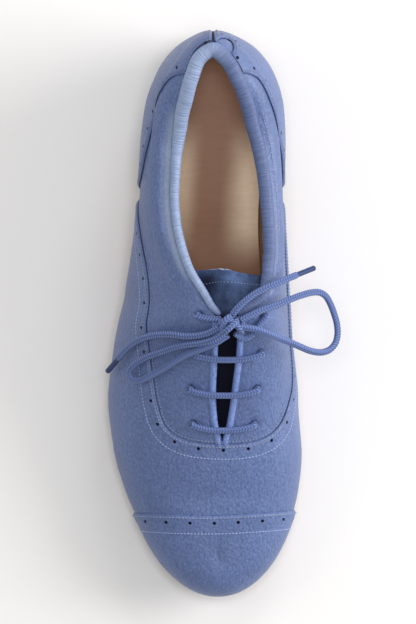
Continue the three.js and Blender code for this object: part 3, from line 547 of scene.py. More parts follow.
def spline(points, steps):
    """The uniform Catmull-Rom curve through plan or side points that the part uses for its seams."""
    points = np.asarray(points, float)
    last = len(points) - 1
    result = []
    for place in np.linspace(0, last, steps + 1):
        i = min(int(place), last - 1)
        t = place - i
        p0, p1, p2, p3 = points[max(i - 1, 0)], points[i], points[i + 1], points[min(i + 2, last)]
        v0, v1 = (p2 - p0) / 2, (p3 - p1) / 2
        cubic = 2 * p1 - 2 * p2 + v0 + v1
        square = -3 * p1 + 3 * p2 - 2 * v0 - v1
        result.append(((cubic * t + square) * t + v0) * t + p1)
    return np.array(result)


SEAM_STEPS = 120
CAP_STEPS = 60


def seam_line(rows, index):
    points = []
    for row in rows:
        y = along_at(row[0])
        points.append([y, float(sole_top(y)) + GAP + INSTEP_HEIGHT * row[index]])
    return spline(points, SEAM_STEPS)


def signed_distance(points, line, polygon):
    """Distance to a line, positive inside the polygon that it closes."""
    distance = polyline_distance(points, line)
    return np.where(inside_polygon(points, polygon), distance, -distance)


def side_field(table, outline_of):
    """Signed side-view distance to a seam, positive on the overlay's side of it."""
    field = np.empty(len(table))
    for side, index in BOTH_SIDES:
        rows = table[:, SIDE] == side
        field[rows] = signed_distance(table[rows][:, 1:3], *outline_of(index))
    return field


# A distance past the shoe's ends, where the seams' outlines close.
FAR = 400.0


def vamp_outline(index):
    line = seam_line(THROAT_SEAM, index)
    line = np.vstack([[line[0][0], -FAR], line, [line[-1][0], FAR]])
    return line, np.vstack([line, [-FAR, FAR], [-FAR, -FAR]])


def counter_outline(index):
    line = seam_line(COUNTER_SEAM, index)
    line = np.vstack([[line[0][0], -FAR], line, [FAR, line[-1][1]]])
    return line, np.vstack([line, [FAR, -FAR]])


def cap_field(table):
    places = [(side * BALL_WIDTH / 2, along_at(share)) for share, side in CAP_EDGE]
    line = spline(places, CAP_STEPS)
    polygon = np.vstack([line, [line[-1][0], -FAR], [line[0][0], -FAR]])
    return signed_distance(table[:, :2], line, polygon)


def seam_distance(table, triangles, on_line, reach=16.0, parts=5, on_edge=0.02):
    """Real distance of every corner to the cut edge, up to reach."""
    edges = [e for e in border_edges(triangles) if on_line[e[0]] and on_line[e[1]]]
    places = table[:, PLACE]
    points = np.vstack([places[a] * (1 - t) + places[b] * t
                        for a, b in edges for t in np.arange(parts) / parts])
    tree = kdtree.KDTree(len(points))
    for i, point in enumerate(points):
        tree.insert(point, i)
    tree.balance()
    low, high = points.min(0) - reach, points.max(0) + reach
    near = ((places > low) & (places < high)).all(1)
    distance = np.full(len(table), reach)
    for i in np.nonzero(near)[0]:
        distance[i] = min(reach, tree.find(places[i])[2])
    distance[on_line & near] = np.minimum(distance[on_line & near], on_edge)
    return distance


def level_lines(table, triangles, field, level):
    """Ordered lines of (place, normal) where field is level."""
    value = field - level
    value = np.where(np.abs(value) < TINY, TINY, value)
    positive = value > 0
    count = positive[triangles].sum(1)
    links = {}
    for face in triangles[(count > 0) & (count < 3)].tolist():
        ends = []
        for a, b in ((0, 1), (1, 2), (2, 0)):
            low, high = sorted((face[a], face[b]))
            if positive[low] != positive[high]:
                ends.append((low, high))
        links.setdefault(ends[0], []).append(ends[1])
        links.setdefault(ends[1], []).append(ends[0])

    def place(key):
        low, high = key
        t = value[low] / (value[low] - value[high])
        return table[low, :6] * (1 - t) + table[high, :6] * t

    lines = []
    left = set(links)
    while left:
        start = next((key for key in left if len(links[key]) == 1), None) or next(iter(left))
        chain = [start]
        left.discard(start)
        while True:
            following = [key for key in links[chain[-1]] if key in left]
            if not following:
                break
            chain.append(following[0])
            left.discard(following[0])
        if len(chain) > 3:
            lines.append(np.array([place(key) for key in chain]))
    return lines


# How far each way a line's direction is taken over.
WAY_REACH = 0.4


def resample(line, pitch, start=0.0):
    """Points of (place, normal) every pitch along a line, with the way it runs there."""
    places = line[:, PLACE]
    lengths = running_lengths(places)
    wanted = np.arange(start, lengths[-1], pitch)
    before = sampled(places, lengths, np.maximum(wanted - WAY_REACH, 0))
    after = sampled(places, lengths, wanted + WAY_REACH)
    return sampled(line, lengths, wanted), unit(after - before)


# Rings of corners about a punched hole, as multiples of its radius; how much further out the leather is
# meshed anew, and how deep; and the least that a face there looks the hole's way.
HOLE_RINGS = (1, 1.35, 1.8)
PATCH_MARGIN = 0.9
PATCH_DEPTH = 3
PATCH_FACING = 0.3


def punch(table, triangles, centre, normal, radius, segments=16):
    """Cuts a round hole, with rings of finer triangles about it."""
    axis = unit(normal)
    first = unit(np.cross(axis, [1.0, 0, 0] if abs(axis[0]) < 0.8 else [0, 1.0, 0]))
    offset = table[:, PLACE] - centre
    flat = np.stack([offset @ first, offset @ np.cross(axis, first)], 1)
    near = np.hypot(*flat.T) < HOLE_RINGS[-1] * radius + PATCH_MARGIN
    near &= np.abs(offset @ axis) < PATCH_DEPTH
    patch = near[triangles].any(1) & (table[triangles, NORMAL].mean(1) @ axis > PATCH_FACING)
    if not patch.any():
        return table, triangles
    inner = triangles[patch]
    rim = border_edges(inner)
    angle = turn_angles(segments)
    circle = np.stack([np.cos(angle), np.sin(angle)], 1)
    border = sorted(set(rim.ravel().tolist()))
    points = [Vector(flat[v]) for v in border]
    points += [Vector(point * size * radius) for size in HOLE_RINGS for point in circle]
    at = {v: i for i, v in enumerate(border)}
    edges = [(at[int(a)], at[int(b)]) for a, b in rim]
    base = len(border)
    edges += [(base + i, base + (i + 1) % segments) for i in range(segments)]
    coordinates, _, faces, origins, _, _ = geometry.delaunay_2d_cdt(points, edges, [], 0, 1e-6)
    a, b, c = (flat[inner[:, i]] for i in range(3))

    def turned(v, w):
        """Twice the signed area between two flat ways."""
        return v[..., 0] * w[..., 1] - w[..., 0] * v[..., 1]

    area = turned(b - a, c - a)
    area = np.where(np.abs(area) < 1e-12, 1e-12, area)

    def lift(point):
        """The table's row at a flat point, from the old triangle that it lies in."""
        s, t = turned(point - a, c - a) / area, turned(b - a, point - a) / area
        best = int(np.argmax(np.minimum(np.minimum(s, t), 1 - s - t)))
        s, t = s[best], t[best]
        row = table[inner[best]]
        return row[0] * (1 - s - t) + row[1] * s + row[2] * t

    added = []
    number = []
    for i, coordinate in enumerate(coordinates):
        source = [k for k in origins[i] if k < base]
        if source:
            number.append(border[source[0]])
        else:
            number.append(len(table) + len(added))
            added.append(lift(np.array(coordinate)))
    boundary = flat[ordered_loop(rim)]
    fresh = []
    for face in faces:
        ends = np.array([coordinates[i] for i in face])
        middle = ends.mean(0)
        if np.hypot(*middle) < radius * 0.98 or not inside_polygon(middle[None], boundary)[0]:
            continue
        face = face if turned(ends[1] - ends[0], ends[2] - ends[0]) > 0 else face[::-1]
        fresh.append([number[i] for i in face])
    table = np.vstack([table, np.array(added)])
    table[:, NORMAL] = unit(table[:, NORMAL])
    return table, np.vstack([triangles[~patch], np.array(fresh)])


def ordered_loop(edges):
    following = {int(a): int(b) for a, b in edges}
    start = int(edges[0][0])
    loop = [start]
    while following.get(loop[-1], start) != start and len(loop) <= len(edges):
        loop.append(following[loop[-1]])
    return loop


CURVE_PARTS = 24


def catmull(points, spacing):
    """The centripetal Catmull-Rom curve that the part's tubes follow, in even steps."""
    points = np.asarray(points, float)
    full = np.vstack([2 * points[0] - points[1], points, 2 * points[-1] - points[-2]])
    fine = []
    for i in range(1, len(full) - 2):
        p0, p1, p2, p3 = near = full[i - 1 : i + 3]
        d0, d1, d2 = np.sqrt(np.maximum(np.linalg.norm(np.diff(near, axis=0), axis=1), 1e-4))
        m1 = ((p1 - p0) / d0 - (p2 - p0) / (d0 + d1) + (p2 - p1) / d1) * d1
        m2 = ((p2 - p1) / d1 - (p3 - p1) / (d1 + d2) + (p3 - p2) / d2) * d1
        for t in np.linspace(0, 1, CURVE_PARTS, endpoint=False):
            square, cubic = t * t, t * t * t
            fine.append((2 * cubic - 3 * square + 1) * p1 + (cubic - 2 * square + t) * m1
                        + (3 * square - 2 * cubic) * p2 + (cubic - square) * m2)
    fine.append(points[-1])
    lengths = running_lengths(fine)
    steps = max(2, int(math.ceil(lengths[-1] / spacing)))
    return sampled(fine, lengths, np.linspace(0, lengths[-1], steps + 1)), float(lengths[-1])


def carried_frames(line):
    """A side and an up for every point of a line, carried on without twisting."""
    way = unit(np.gradient(line, axis=0))
    normal = UP
    ups = []
    for tangent in way:
        normal = unit(normal - tangent * (normal @ tangent))
        ups.append(normal)
    return np.cross(ups, way), np.array(ups)


def new_object(name, places, faces, smooth=True, uv=None):
    """A mesh object from places in millimetres; uv is one pair for each corner of the table."""
    mesh = bpy.data.meshes.new(name)
    faces = faces.tolist() if isinstance(faces, np.ndarray) else faces
    mesh.from_pydata(to_row(places).tolist(), [], faces)
    if uv is not None:
        layer = mesh.uv_layers.new(name="UVMap")
        corners = np.empty(len(mesh.loops), np.int32)
        mesh.loops.foreach_get("vertex_index", corners)
        layer.data.foreach_set("uv", np.asarray(uv, float)[corners].ravel())
    if smooth:
        mesh.shade_smooth()
    mesh.update()
    obj = bpy.data.objects.new(name, mesh)
    bpy.context.collection.objects.link(obj)
    return obj


def tube(line, radius_of, sides):
    """A closed tube's places, faces and UV lengths.

    radius_of(length, angle) gives a pair, the radius across and the radius up.
    """
    across, ups = carried_frames(line)
    lengths = running_lengths(line)
    angle = turn_angles(sides)
    wide, high = radius_of(lengths[:, None], angle[None, :])
    places = (line[:, None] + across[:, None] * (wide * np.cos(angle))[..., None]
              + ups[:, None] * (high * np.sin(angle))[..., None]).reshape(-1, 3)
    faces = tube_faces(len(line), sides)
    uv = np.stack([np.repeat(lengths, sides), np.tile(angle / (2 * math.pi), len(line))], 1)
    first, last = len(places), len(places) + 1
    places = np.vstack([places, line[0], line[-1]])
    uv = np.vstack([uv, [0, 0], [lengths[-1], 0]])
    end = (len(line) - 1) * sides
    for j in range(sides):
        k = (j + 1) % sides
        faces += [(first, k, j), (last, end + j, end + k)]
    return places, faces, uv


def sweep(name, line, radius_of, sides):
    places, faces, uv = tube(line, radius_of, sides)
    return new_object(name, places, faces, uv=uv)


def finish_piece(obj, slot_name, material, *nodes):
    obj.data.materials.append(material)
    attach(obj, BODY)
    if nodes:
        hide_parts(*nodes)
    return obj


# Looks. Every material is procedural and reads object coordinates or a mesh's own UV lengths.
UNSTRETCHED = (1, 1, 1)
GRAIN_SCALE = 1000
PORE_SCALE = 1900
FOLD_SCALE = 750
SPECK_SCALE = 900
TONE_SCALE = 38


def set_socket(tree, socket, value):
    """Links a socket to another one, or gives it a plain value."""
    if isinstance(value, bpy.types.NodeSocket):
        tree.links.new(value, socket)
    else:
        socket.default_value = value


def add_node(tree, kind, inputs=(), **settings):
    """A node with its settings, and its inputs by name or number."""
    node = tree.nodes.new("ShaderNode" + kind)
    for name, value in settings.items():
        setattr(node, name, value)
    for name, value in dict(inputs).items():
        set_socket(tree, node.inputs[name], value)
    return node


def new_material(name, colour, roughness, **values):
    material = bpy.data.materials.new(name)
    material.use_nodes = True
    tree = material.node_tree
    shader = tree.nodes["Principled BSDF"]
    set_socket(tree, shader.inputs["Base Color"], (*colour, 1))
    set_socket(tree, shader.inputs["Roughness"], roughness)
    for socket, value in values.items():
        set_socket(tree, shader.inputs[socket.replace("_", " ")], value)
    return material, tree, shader


def link_texture(tree, kind, source, stretch, inputs, **settings):
    coordinates = add_node(tree, "TexCoord")
    mapping = add_node(tree, "Mapping", {"Scale": stretch, "Vector": coordinates.outputs[source]})
    return add_node(tree, kind, {**inputs, "Vector": mapping.outputs["Vector"]}, **settings)


def link_noise(tree, scale, detail=2.0, roughness=0.5, source="Object", stretch=UNSTRETCHED):
    inputs = {"Scale": scale, "Detail": detail, "Roughness": roughness}
    return link_texture(tree, "TexNoise", source, stretch, inputs).outputs["Fac"]


def link_cells(tree, scale, stretch):
    cells = link_texture(tree, "TexVoronoi", "Object", stretch, {"Scale": scale}, feature="SMOOTH_F1")
    return cells.outputs["Distance"]


def link_ramp(tree, value, stops):
    """Colours, or plain shades, between which a value moves."""
    ramp = add_node(tree, "ValToRGB", {"Fac": value})
    for element, (place, colour) in zip(ramp.color_ramp.elements, stops):
        element.position = place
        element.color = (*colour, 1) if isinstance(colour, tuple) else (colour, colour, colour, 1)
    return ramp.outputs["Color"]


def link_bump(tree, shader, height, strength, distance, below=None):
    inputs = {"Strength": strength, "Distance": distance, "Height": height}
    if below is not None:
        inputs["Normal"] = below
    bump = add_node(tree, "Bump", inputs).outputs["Normal"]
    set_socket(tree, shader.inputs["Normal"], bump)
    return bump


def link_mix(tree, factor, first, second, kind="MIX"):
    """Mixes two colours, each a socket or a plain value."""
    inputs = dict(enumerate((factor, first, second)))
    return add_node(tree, "MixRGB", inputs, blend_type=kind).outputs["Color"]


def link_range(tree, value, low, high, to_low=0.0, to_high=1.0):
    inputs = {"Value": value, "From Min": low, "From Max": high, "To Min": to_low, "To Max": to_high}
    return add_node(tree, "MapRange", inputs, interpolation_type="SMOOTHSTEP").outputs["Result"]


def link_math(tree, kind, first, second=0.0):
    return add_node(tree, "Math", {0: first, 1: second}, operation=kind).outputs["Value"]


def link_split(tree, source):
    """A coordinate's first two numbers, as sockets."""
    coordinates = add_node(tree, "TexCoord")
    split = add_node(tree, "SeparateXYZ", {"Vector": coordinates.outputs[source]})
    return split.outputs["X"], split.outputs["Y"]


def shade(colour, amount):
    return tuple(min(1, max(0, c * amount)) for c in colour)


def leather_material(name, colour, highlight_ranges=None, highlight_colour=None, roughness=0.45):
    """Soft pebbled leather: small cells, fine pores and a slow change of tone.

    highlight_ranges is a pair of ranges of U and V within which the leather is paler, a painted
    highlight, as on the padded collar's slope beside the roll.
    """
    material, tree, shader = new_material(name, colour, roughness, Coat_Weight=0.06, Coat_Roughness=0.4)
    tone = link_noise(tree, TONE_SCALE, 4, 0.6)
    base = link_ramp(tree, tone, [(0.3, shade(colour, 0.94)), (0.7, shade(colour, 1.08))])
    cells = link_cells(tree, GRAIN_SCALE, (1, 0.7, 1))
    pebbles = link_ramp(tree, cells, [(0.1, 1.04), (0.6, (0.78, 0.8, 0.84))])
    specks = link_ramp(tree, link_noise(tree, SPECK_SCALE, 3, 0.7), [(0.36, 0.8), (0.58, 1.06)])
    for layer in (pebbles, specks):
        base = link_mix(tree, 1.0, base, layer, "MULTIPLY")
    if highlight_ranges:
        within = 1.0
        for socket, (a, b, c, d) in zip(link_split(tree, "UV"), highlight_ranges):
            for low, high in ((a, b), (d, c)):
                within = link_math(tree, "MULTIPLY", within, link_range(tree, socket, low, high))
        base = link_mix(tree, within, base, (*highlight_colour, 1))
    set_socket(tree, shader.inputs["Base Color"], base)
    gloss = [(0.35, roughness - 0.09), (0.65, roughness + 0.1)]
    set_socket(tree, shader.inputs["Roughness"], link_ramp(tree, link_noise(tree, SPECK_SCALE), gloss))
    pores = link_bump(tree, shader, link_noise(tree, PORE_SCALE, 3, 0.6), 0.35, 0.0002)
    creased = link_noise(tree, FOLD_SCALE, 3, 0.55, stretch=(1, 0.45, 1))
    folds = link_bump(tree, shader, creased, 0.2, 0.0005, pores)
    link_bump(tree, shader, cells, 0.7, 0.0004, folds)
    return material


def suede_material(name, colour, dark):
    """Napped suede. U is the distance from the tongue's free end. The laced stretch is darkened as
    painted shade, and its outer side past the free end as a painted shadow of the collar roll.
    """
    material, tree, shader = new_material(name, colour, 0.9, Sheen_Weight=0.04, Specular_IOR_Level=0.15)
    tone = link_noise(tree, 260, 5, 0.65)
    nap = link_ramp(tree, tone, [(0.3, shade(colour, 0.72)), (0.7, shade(colour, 1.3))])
    along, across = link_split(tree, "UV")
    # Painted shade: a shadow of the collar roll over the outer side, and shade deepening along the laced
    # stretch.
    left = link_range(tree, across, -0.15, -0.6, 0, 0.85)
    shaded = link_math(tree, "MULTIPLY", left, link_range(tree, along, 0.5, 5))
    for start, end, amount in ((13, 24, 1.0), (6, 15, 0.45)):
        shaded = link_math(tree, "MAXIMUM", shaded, link_range(tree, along, start, end, 0, amount))
    set_socket(tree, shader.inputs["Base Color"], link_mix(tree, shaded, nap, (*dark, 1)))
    link_bump(tree, shader, link_noise(tree, 800, 4, 0.7), 0.8, 0.0009)
    return material


def binding_material(name, outer, inner):
    """The rolled edge: leather drawn into fine ribs across its length, read from the UV lengths.

    The two sides are a lit and a shaded copy of one colour: the outer side is paler as painted light,
    and the side towards the shoe's inner edge is the darker of the two, as painted shade.
    """
    material, tree, shader = new_material(name, outer, 0.5, Coat_Weight=0.06, Coat_Roughness=0.4)
    # Painted light and shade: the outer side takes the lit colour and the inner side the shaded one,
    # blended across the back.
    side = link_range(tree, link_split(tree, "Object")[0], -0.003, 0.013)
    ribs = link_noise(tree, 1.0, source="UV", stretch=(2.0, 2.2, 1))
    tone = link_ramp(tree, ribs, [(0.36, (0.8, 0.82, 0.86)), (0.62, 1.08)])
    base = link_mix(tree, side, (*outer, 1), (*inner, 1))
    set_socket(tree, shader.inputs["Base Color"], link_mix(tree, 1.0, base, tone, "MULTIPLY"))
    pores = link_bump(tree, shader, link_noise(tree, 1500, 3, 0.6), 0.3, 0.0002)
    link_bump(tree, shader, ribs, 0.6, 0.0008, pores)
    return material


# The lace's plait: the length that one strand takes to cross a column, and the columns round it.
BRAID_PITCH = 1.3
BRAID_COLUMNS = 4


def braid_material(name, colour):
    """Plaited cord: strands lean both ways in turn round it. Its tone is painted light and shade: each
    strand is paler at its crest as a painted highlight, and darker between strands and between the
    columns as painted shade. U is the length, V the share round it.
    """
    material, tree, shader = new_material(name, colour, 0.75, Sheen_Weight=0.1)
    along, around = link_split(tree, "UV")
    lean = link_math(tree, "PINGPONG", link_math(tree, "MULTIPLY", around, BRAID_COLUMNS), 1.0)
    step = link_math(tree, "ADD", link_math(tree, "DIVIDE", along, BRAID_PITCH), lean)
    wave = link_math(tree, "SINE", link_math(tree, "MULTIPLY", step, 2 * math.pi))
    middle = link_math(tree, "SINE", link_math(tree, "MULTIPLY", lean, math.pi))
    strands = link_range(tree, wave, -0.75, 0.7)
    # Painted highlight on each strand's crest, and painted shade between strands and columns.
    strand_light = link_math(tree, "MULTIPLY", strands, link_range(tree, middle, 0.05, 0.75, 0.25, 1.0))
    base = link_mix(tree, strand_light, (*shade(colour, 0.55), 1), (*shade(colour, 1.55), 1))
    set_socket(tree, shader.inputs["Base Color"], base)
    link_bump(tree, shader, link_noise(tree, 2600, 2, 0.7), 0.4, 0.0002)
    return material


def insole_material(name, dark, light):
    """Tan leather, brown along its middle, with painted light and shade: its sides are painted light,
    fading out towards the heel and the toe, and the brown middle is also darkened as painted shade. U
    runs across it, and V is the share along it.
    """
    material, tree, shader = new_material(name, light, 0.6)
    across, along = link_split(tree, "UV")
    cloud = link_math(tree, "MULTIPLY", link_noise(tree, 40), 0.16)
    place = link_math(tree, "ADD", across, link_math(tree, "SUBTRACT", cloud, 0.08))
    # Painted light on the sides, fading out towards the heel and the toe; the middle keeps the darker
    # colour as painted shade.
    left, right = link_range(tree, place, -0.1, -0.66), link_range(tree, place, 0.2, 0.84)
    lit_sides_shaded_middle = link_math(tree, "MAXIMUM", left, right)
    for start, end in ((0.12, 0.24), (0.425, 0.335)):
        lit_sides_shaded_middle = link_math(tree, "MULTIPLY", lit_sides_shaded_middle, link_range(tree, along, start, end))
    tone = link_mix(tree, lit_sides_shaded_middle, (*dark, 1), (*light, 1))
    grain = link_noise(tree, 520, 3, 0.6, stretch=(0.25, 1, 1))
    fibres = link_ramp(tree, grain, [(0.35, 0.93), (0.65, 1.0)])
    set_socket(tree, shader.inputs["Base Color"], link_mix(tree, 1.0, tone, fibres, "MULTIPLY"))
    link_bump(tree, shader, link_noise(tree, 1300, 3, 0.6), 0.25, 0.0002)
    return material


def plain_material(name, colour, roughness, bump=0.0, scale=900, **values):
    material, tree, shader = new_material(name, colour, roughness, **values)
    tone = link_noise(tree, 90, 4, 0.6)
    stops = [(0.3, shade(colour, 0.9)), (0.7, shade(colour, 1.08))]
    set_socket(tree, shader.inputs["Base Color"], link_ramp(tree, tone, stops))
    if bump:
        link_bump(tree, shader, link_noise(tree, scale, 3, 0.6), bump, 0.0003)
    return material


# The upper's outer face is built once, and every leather panel is cut from it. SEAM_ROUND is how far a
# cut edge is rounded, and SEAM_FLARE how far its face leans out, less towards the toe cap's two corners.
LAYER = GAP + OVERLAY
SEAM_ROUND = 1.1
SEAM_FLARE = 0.75
CAP_FLARE_FADE = (22, 31)
EDGE_STEP = 0.45
EDGE_LOW = 0.45
ON_EDGE = 0.1
SKIRT_SHARE = 0.9
FACING_FOLD = 3.0
HOLE_RADIUS = 0.8
EYELET_SHOWN = 1.9
EYELET_SEGMENTS = 20

# Soft troughs (depth below 0) and ridges in the leather: plan points, depth, half width.
CREASES = (
    (((-46, 8), (-34, 5), (-22, 3), (-12, 4)), -0.5, 5.0),
    (((-46, -4), (-34, -7), (-24, -9)), 0.4, 5.0),
    (((36, -6), (30, -22), (28, -38)), -0.35, 5.0),
    (((-30, -62), (-12, -70), (8, -72), (26, -68)), 0.35, 7.0),
    (((-34, -74), (-14, -82), (8, -84), (30, -78)), -0.35, 6.0),
    (((-20, -92), (0, -94), (22, -91)), 0.2, 5.0),
    (((-44, 62), (-40, 50), (-38, 36)), -0.4, 5.0),
    (((46, 66), (45, 52), (42, 36)), -0.35, 5.0),
)
CREASE_STEPS = 24
CREASE_RUN_OUT = 12
CREASE_HEIGHTS = (14, 30)

# The collar's padding past the solid's own swell: its height on each side, the distances below the
# topline between which it rises and falls, and the dips beside the roll and past the padding, as middle,
# half width and depth. The shares are where each fades along the shoe.
PAD_HEIGHT = {OUTER: 2.1, INNER: 0.7}
PAD_RISE = (0.9, 4.2)
PAD_FALL = (8.8, 12.8)
PAD_BACK = (0.02, 0.12)
PAD_FRONT = 0.45
ROLL_DIP = (0.7, 0.8, -0.5)
PAD_DIP = (13.4, 1.3, -0.3)

# The facings' folded edge and the groove behind it, in the same way, and where it runs along the shoe.
FOLD_RIDGE = (1.5, 1.25, 0.75)
FOLD_DIP = (FACING_FOLD + 0.35, 0.5, -0.5)
FOLD_START = (0.5, 0.515)
FOLD_END = (0.735, 0.742)
# The shares between which the fold is painted paler, a painted highlight on its rounded edge.
FOLD_HIGHLIGHT_SHARES = (0.506, 0.738)


def bell(distance, width):
    return np.exp(-((distance / width) ** 2))


def band(below, middle, width, height):
    return height * bell(below - middle, width)


def crease_height(places):
    height = np.zeros(len(places))
    for points, depth, width in CREASES:
        line = spline(points, CREASE_STEPS)
        distance = polyline_distance(places[:, :2], line)
        ends = np.minimum(*(np.linalg.norm(places[:, :2] - line[end], axis=1) for end in (0, -1)))
        height += depth * bell(distance, width) * np.clip(ends / CREASE_RUN_OUT + 0.25, 0, 1)
    return height * smoothstep(places[:, 2], *CREASE_HEIGHTS)


def dressed_height(table):
    """The leather's height over the last's face: creases, padded collar and folded facings."""
    share, below = table[:, SHARE], table[:, BELOW]
    pad = np.where(table[:, SIDE] == OUTER, PAD_HEIGHT[OUTER], PAD_HEIGHT[INNER])
    pad *= smoothstep(share, *PAD_BACK)
    pad *= smoothstep(below, *PAD_RISE) * (1 - smoothstep(below, *PAD_FALL))
    collar = smoothstep(PAD_FRONT - share, 0, 0.12) * (pad + band(below, *PAD_DIP))
    collar += smoothstep(0.5 - share, 0, 0.03) * band(below, *ROLL_DIP)
    facings = smoothstep(share, *FOLD_START) * (1 - smoothstep(share, *FOLD_END))
    facings *= band(below, *FOLD_RIDGE) + band(below, *FOLD_DIP)
    return crease_height(table[:, PLACE]) + collar + facings


@cache
def skin():
    """The upper's outer face, as a table and triangles that every panel is cut from."""
    count = 360
    rows = np.linspace(0, 1, 91)
    return surface_grid(np.unique([*cosine_shares(count + 1), HEEL_REACH]), rows)


def raised(table, height):
    return table[:, PLACE] + table[:, NORMAL] * np.reshape(height, (-1, 1))


def with_skirt(places, normals, triangles, depth, flare=0.0):
    """Turns every border edge down by depth, and out by flare, so that the sheet has a real edge."""
    rim = border_edges(triangles)
    corners = np.unique(rim)
    number = {int(v): len(places) + i for i, v in enumerate(corners)}
    outward = np.zeros_like(places)
    way = places[rim[:, 1]] - places[rim[:, 0]]
    for end in (0, 1):
        np.add.at(outward, rim[:, end], np.cross(way, normals[rim[:, end]]))
    lowered = places - normals * depth + unit(outward) * np.reshape(flare, (-1, 1))
    faces = [tuple(face) for face in triangles.tolist()]
    faces += [(b, a, number[a], number[b]) for a, b in rim.tolist()]
    return np.vstack([places, lowered[corners]]), faces


def colour_faces(obj, material, chosen):
    """Gives some of a mesh's faces another material."""
    obj.data.materials.append(material)
    index = np.zeros(len(obj.data.polygons), np.int32)
    obj.data.polygons.foreach_get("material_index", index)
    index[chosen] = len(obj.data.materials) - 1
    obj.data.polygons.foreach_set("material_index", index)


def overlay(name, field, layers, hole_row, node, flare_fade=None):
    """Cuts a panel from the outer face, rounds its cut edge and punches its holes.

    Gives the panel's sheet, as its table, triangles and heights, and its holes.
    """
    table, triangles = skin()
    table, triangles, on_line = cut(table, triangles, field(table))
    table = np.column_stack([table, seam_distance(table, triangles, on_line)])
    for level in (EDGE_STEP, SEAM_ROUND):
        table, triangles, _ = cut(table, triangles, table[:, INSIDE] - level, keep_both=True)
    level, pitch, centre = hole_row
    holes = []
    for line in level_lines(table, triangles, table[:, INSIDE], level):
        holes += hole_places(line, pitch, centre)
    for hole in holes:
        table, triangles = punch(table, triangles, *hole, HOLE_RADIUS)
    distance = table[:, INSIDE]
    lift = layers * LAYER
    rounded = EDGE_LOW + (1 - EDGE_LOW) * np.sqrt(np.clip(distance / SEAM_ROUND, 0, 1))
    height = lift * rounded + dressed_height(table)
    places = raised(table, height)
    flare = np.where(distance < ON_EDGE, SEAM_FLARE, 0.0)
    if flare_fade:
        flare *= 1 - smoothstep(np.abs(table[:, 0]), *flare_fade)
    normals = area_normals(places, triangles)
    places, faces = with_skirt(places, normals, triangles, lift * SKIRT_SHARE, flare)
    obj = finish_piece(new_object(name, places, faces), "upper_leather", leather(), node)
    colour_faces(obj, cut_edge(), np.arange(len(triangles), len(faces)))
    return (table, triangles, height), holes


def hole_places(line, pitch, centre):
    """Places every pitch along a line, counted both ways from its point nearest to a plan point."""
    nearest = int(np.argmin(np.linalg.norm(line[:, :2] - np.array(centre), axis=1)))
    points, _ = resample(line, pitch, running_lengths(line[:, PLACE])[nearest] % pitch)
    return [(point[PLACE], point[NORMAL]) for point in points]


# Stitches. Each is a row of rings: place along half its length, and size.
STITCH_LENGTH = 1.15
STITCH_PITCH = 1.6
STITCH_WIDTH = 0.44
EDGE_STITCH_WIDTH = 0.55
STITCH_RINGS = ((-1.0, 0.25), (-0.82, 0.8), (0.0, 1.0), (0.82, 0.8), (1.0, 0.25))
STITCH_SIDES = 5
STITCH_ARCH = 0.3
STITCH_SINK = 0.05


def stitch_mesh(name, rows, material, width=STITCH_WIDTH, length=STITCH_LENGTH):
    """Small rounded threads along rows of (place, normal, way), as one mesh."""
    places = []
    faces = []
    for place, normal, way in rows:
        side = unit(np.cross(normal, way))
        faces += tube_faces(len(STITCH_RINGS), STITCH_SIDES, len(places))
        for along, size in STITCH_RINGS:
            arch = STITCH_ARCH * width * (1 - along * along) - STITCH_SINK
            middle = place + way * (along * length / 2) + normal * arch
            places += [middle + (side * math.cos(angle) + normal * math.sin(angle)) * width / 2 * size
                       for angle in turn_angles(STITCH_SIDES)]
    return finish_piece(new_object(name, np.array(places), faces), "upper_leather", material)


def stitch_rows(sheet, level, column=INSIDE):
    """Stitches along the line that lies level inside a sheet's edge, on its raised face."""
    table, triangles, height = sheet
    lifted = table.copy()
    lifted[:, PLACE] = raised(table, height)
    rows = []
    for line in level_lines(lifted, triangles, table[:, column], level):
        points, ways = resample(line, STITCH_PITCH, STITCH_PITCH / 2)
        rows += [(point[PLACE], point[NORMAL], way) for point, way in zip(points, ways)]
    return rows


def colour(name):
    return tuple(getattr(bpy.context.scene.tap_shoe_colours, name))


def sizes():
    return bpy.context.scene.tap_shoe_sizes


def lace_radius():
    """The lace's radius in millimetres; Blender keeps the property in metres."""
    return sizes().lace_diameter / MM / 2


@cache
def leather(name="leather", amount=1.0):
    return leather_material(name, shade(colour("leather"), amount))


@cache
def thread(name="thread", amount=1.0):
    return plain_material(name, shade(colour("thread"), amount), 0.6)


def edge_thread():
    """The thread of the rows along an edge, which lie in its shade."""
    return thread("edge_thread", 0.64)


@cache
def cut_edge():
    """The dark cut edge of the leather."""
    return plain_material("cut_edge", colour("cut_edge"), 0.7, 0.3, 1200)


@cache
def lace_material():
    return braid_material("lace", colour("lace"))


SENSOR_HEIGHT = 36.0


def make_camera():
    camera = bpy.data.cameras.new("camera")
    camera.sensor_fit = "VERTICAL"
    camera.sensor_height = SENSOR_HEIGHT
    height = sizes().camera_height
    camera.lens = SENSOR_HEIGHT * (height - sizes().camera_plane) / sizes().camera_span
    camera.clip_end = 20
    obj = bpy.data.objects.new("camera", camera)
    obj.location = (sizes().camera_x, sizes().camera_y, height)
    bpy.context.collection.objects.link(obj)
    bpy.context.scene.camera = obj


LACE_SIDES = 20
BRAID_RELIEF = 0.05
LACE_FLATTEN = 0.03


def braid_radius(radius):
    """The lace's own relief: strands that lean both ways in turn round it, as a plait's do."""
    def radius_of(length, angle):
        lean = np.abs(BRAID_COLUMNS * angle / (2 * math.pi) % 2 - 1)
        strand = np.sin(2 * math.pi * (length / BRAID_PITCH + lean)) * np.sin(math.pi * lean) ** 0.5
        swell = radius * (1 + BRAID_RELIEF * strand)
        return swell * (1 + LACE_FLATTEN), swell * (1 - LACE_FLATTEN)
    return radius_of


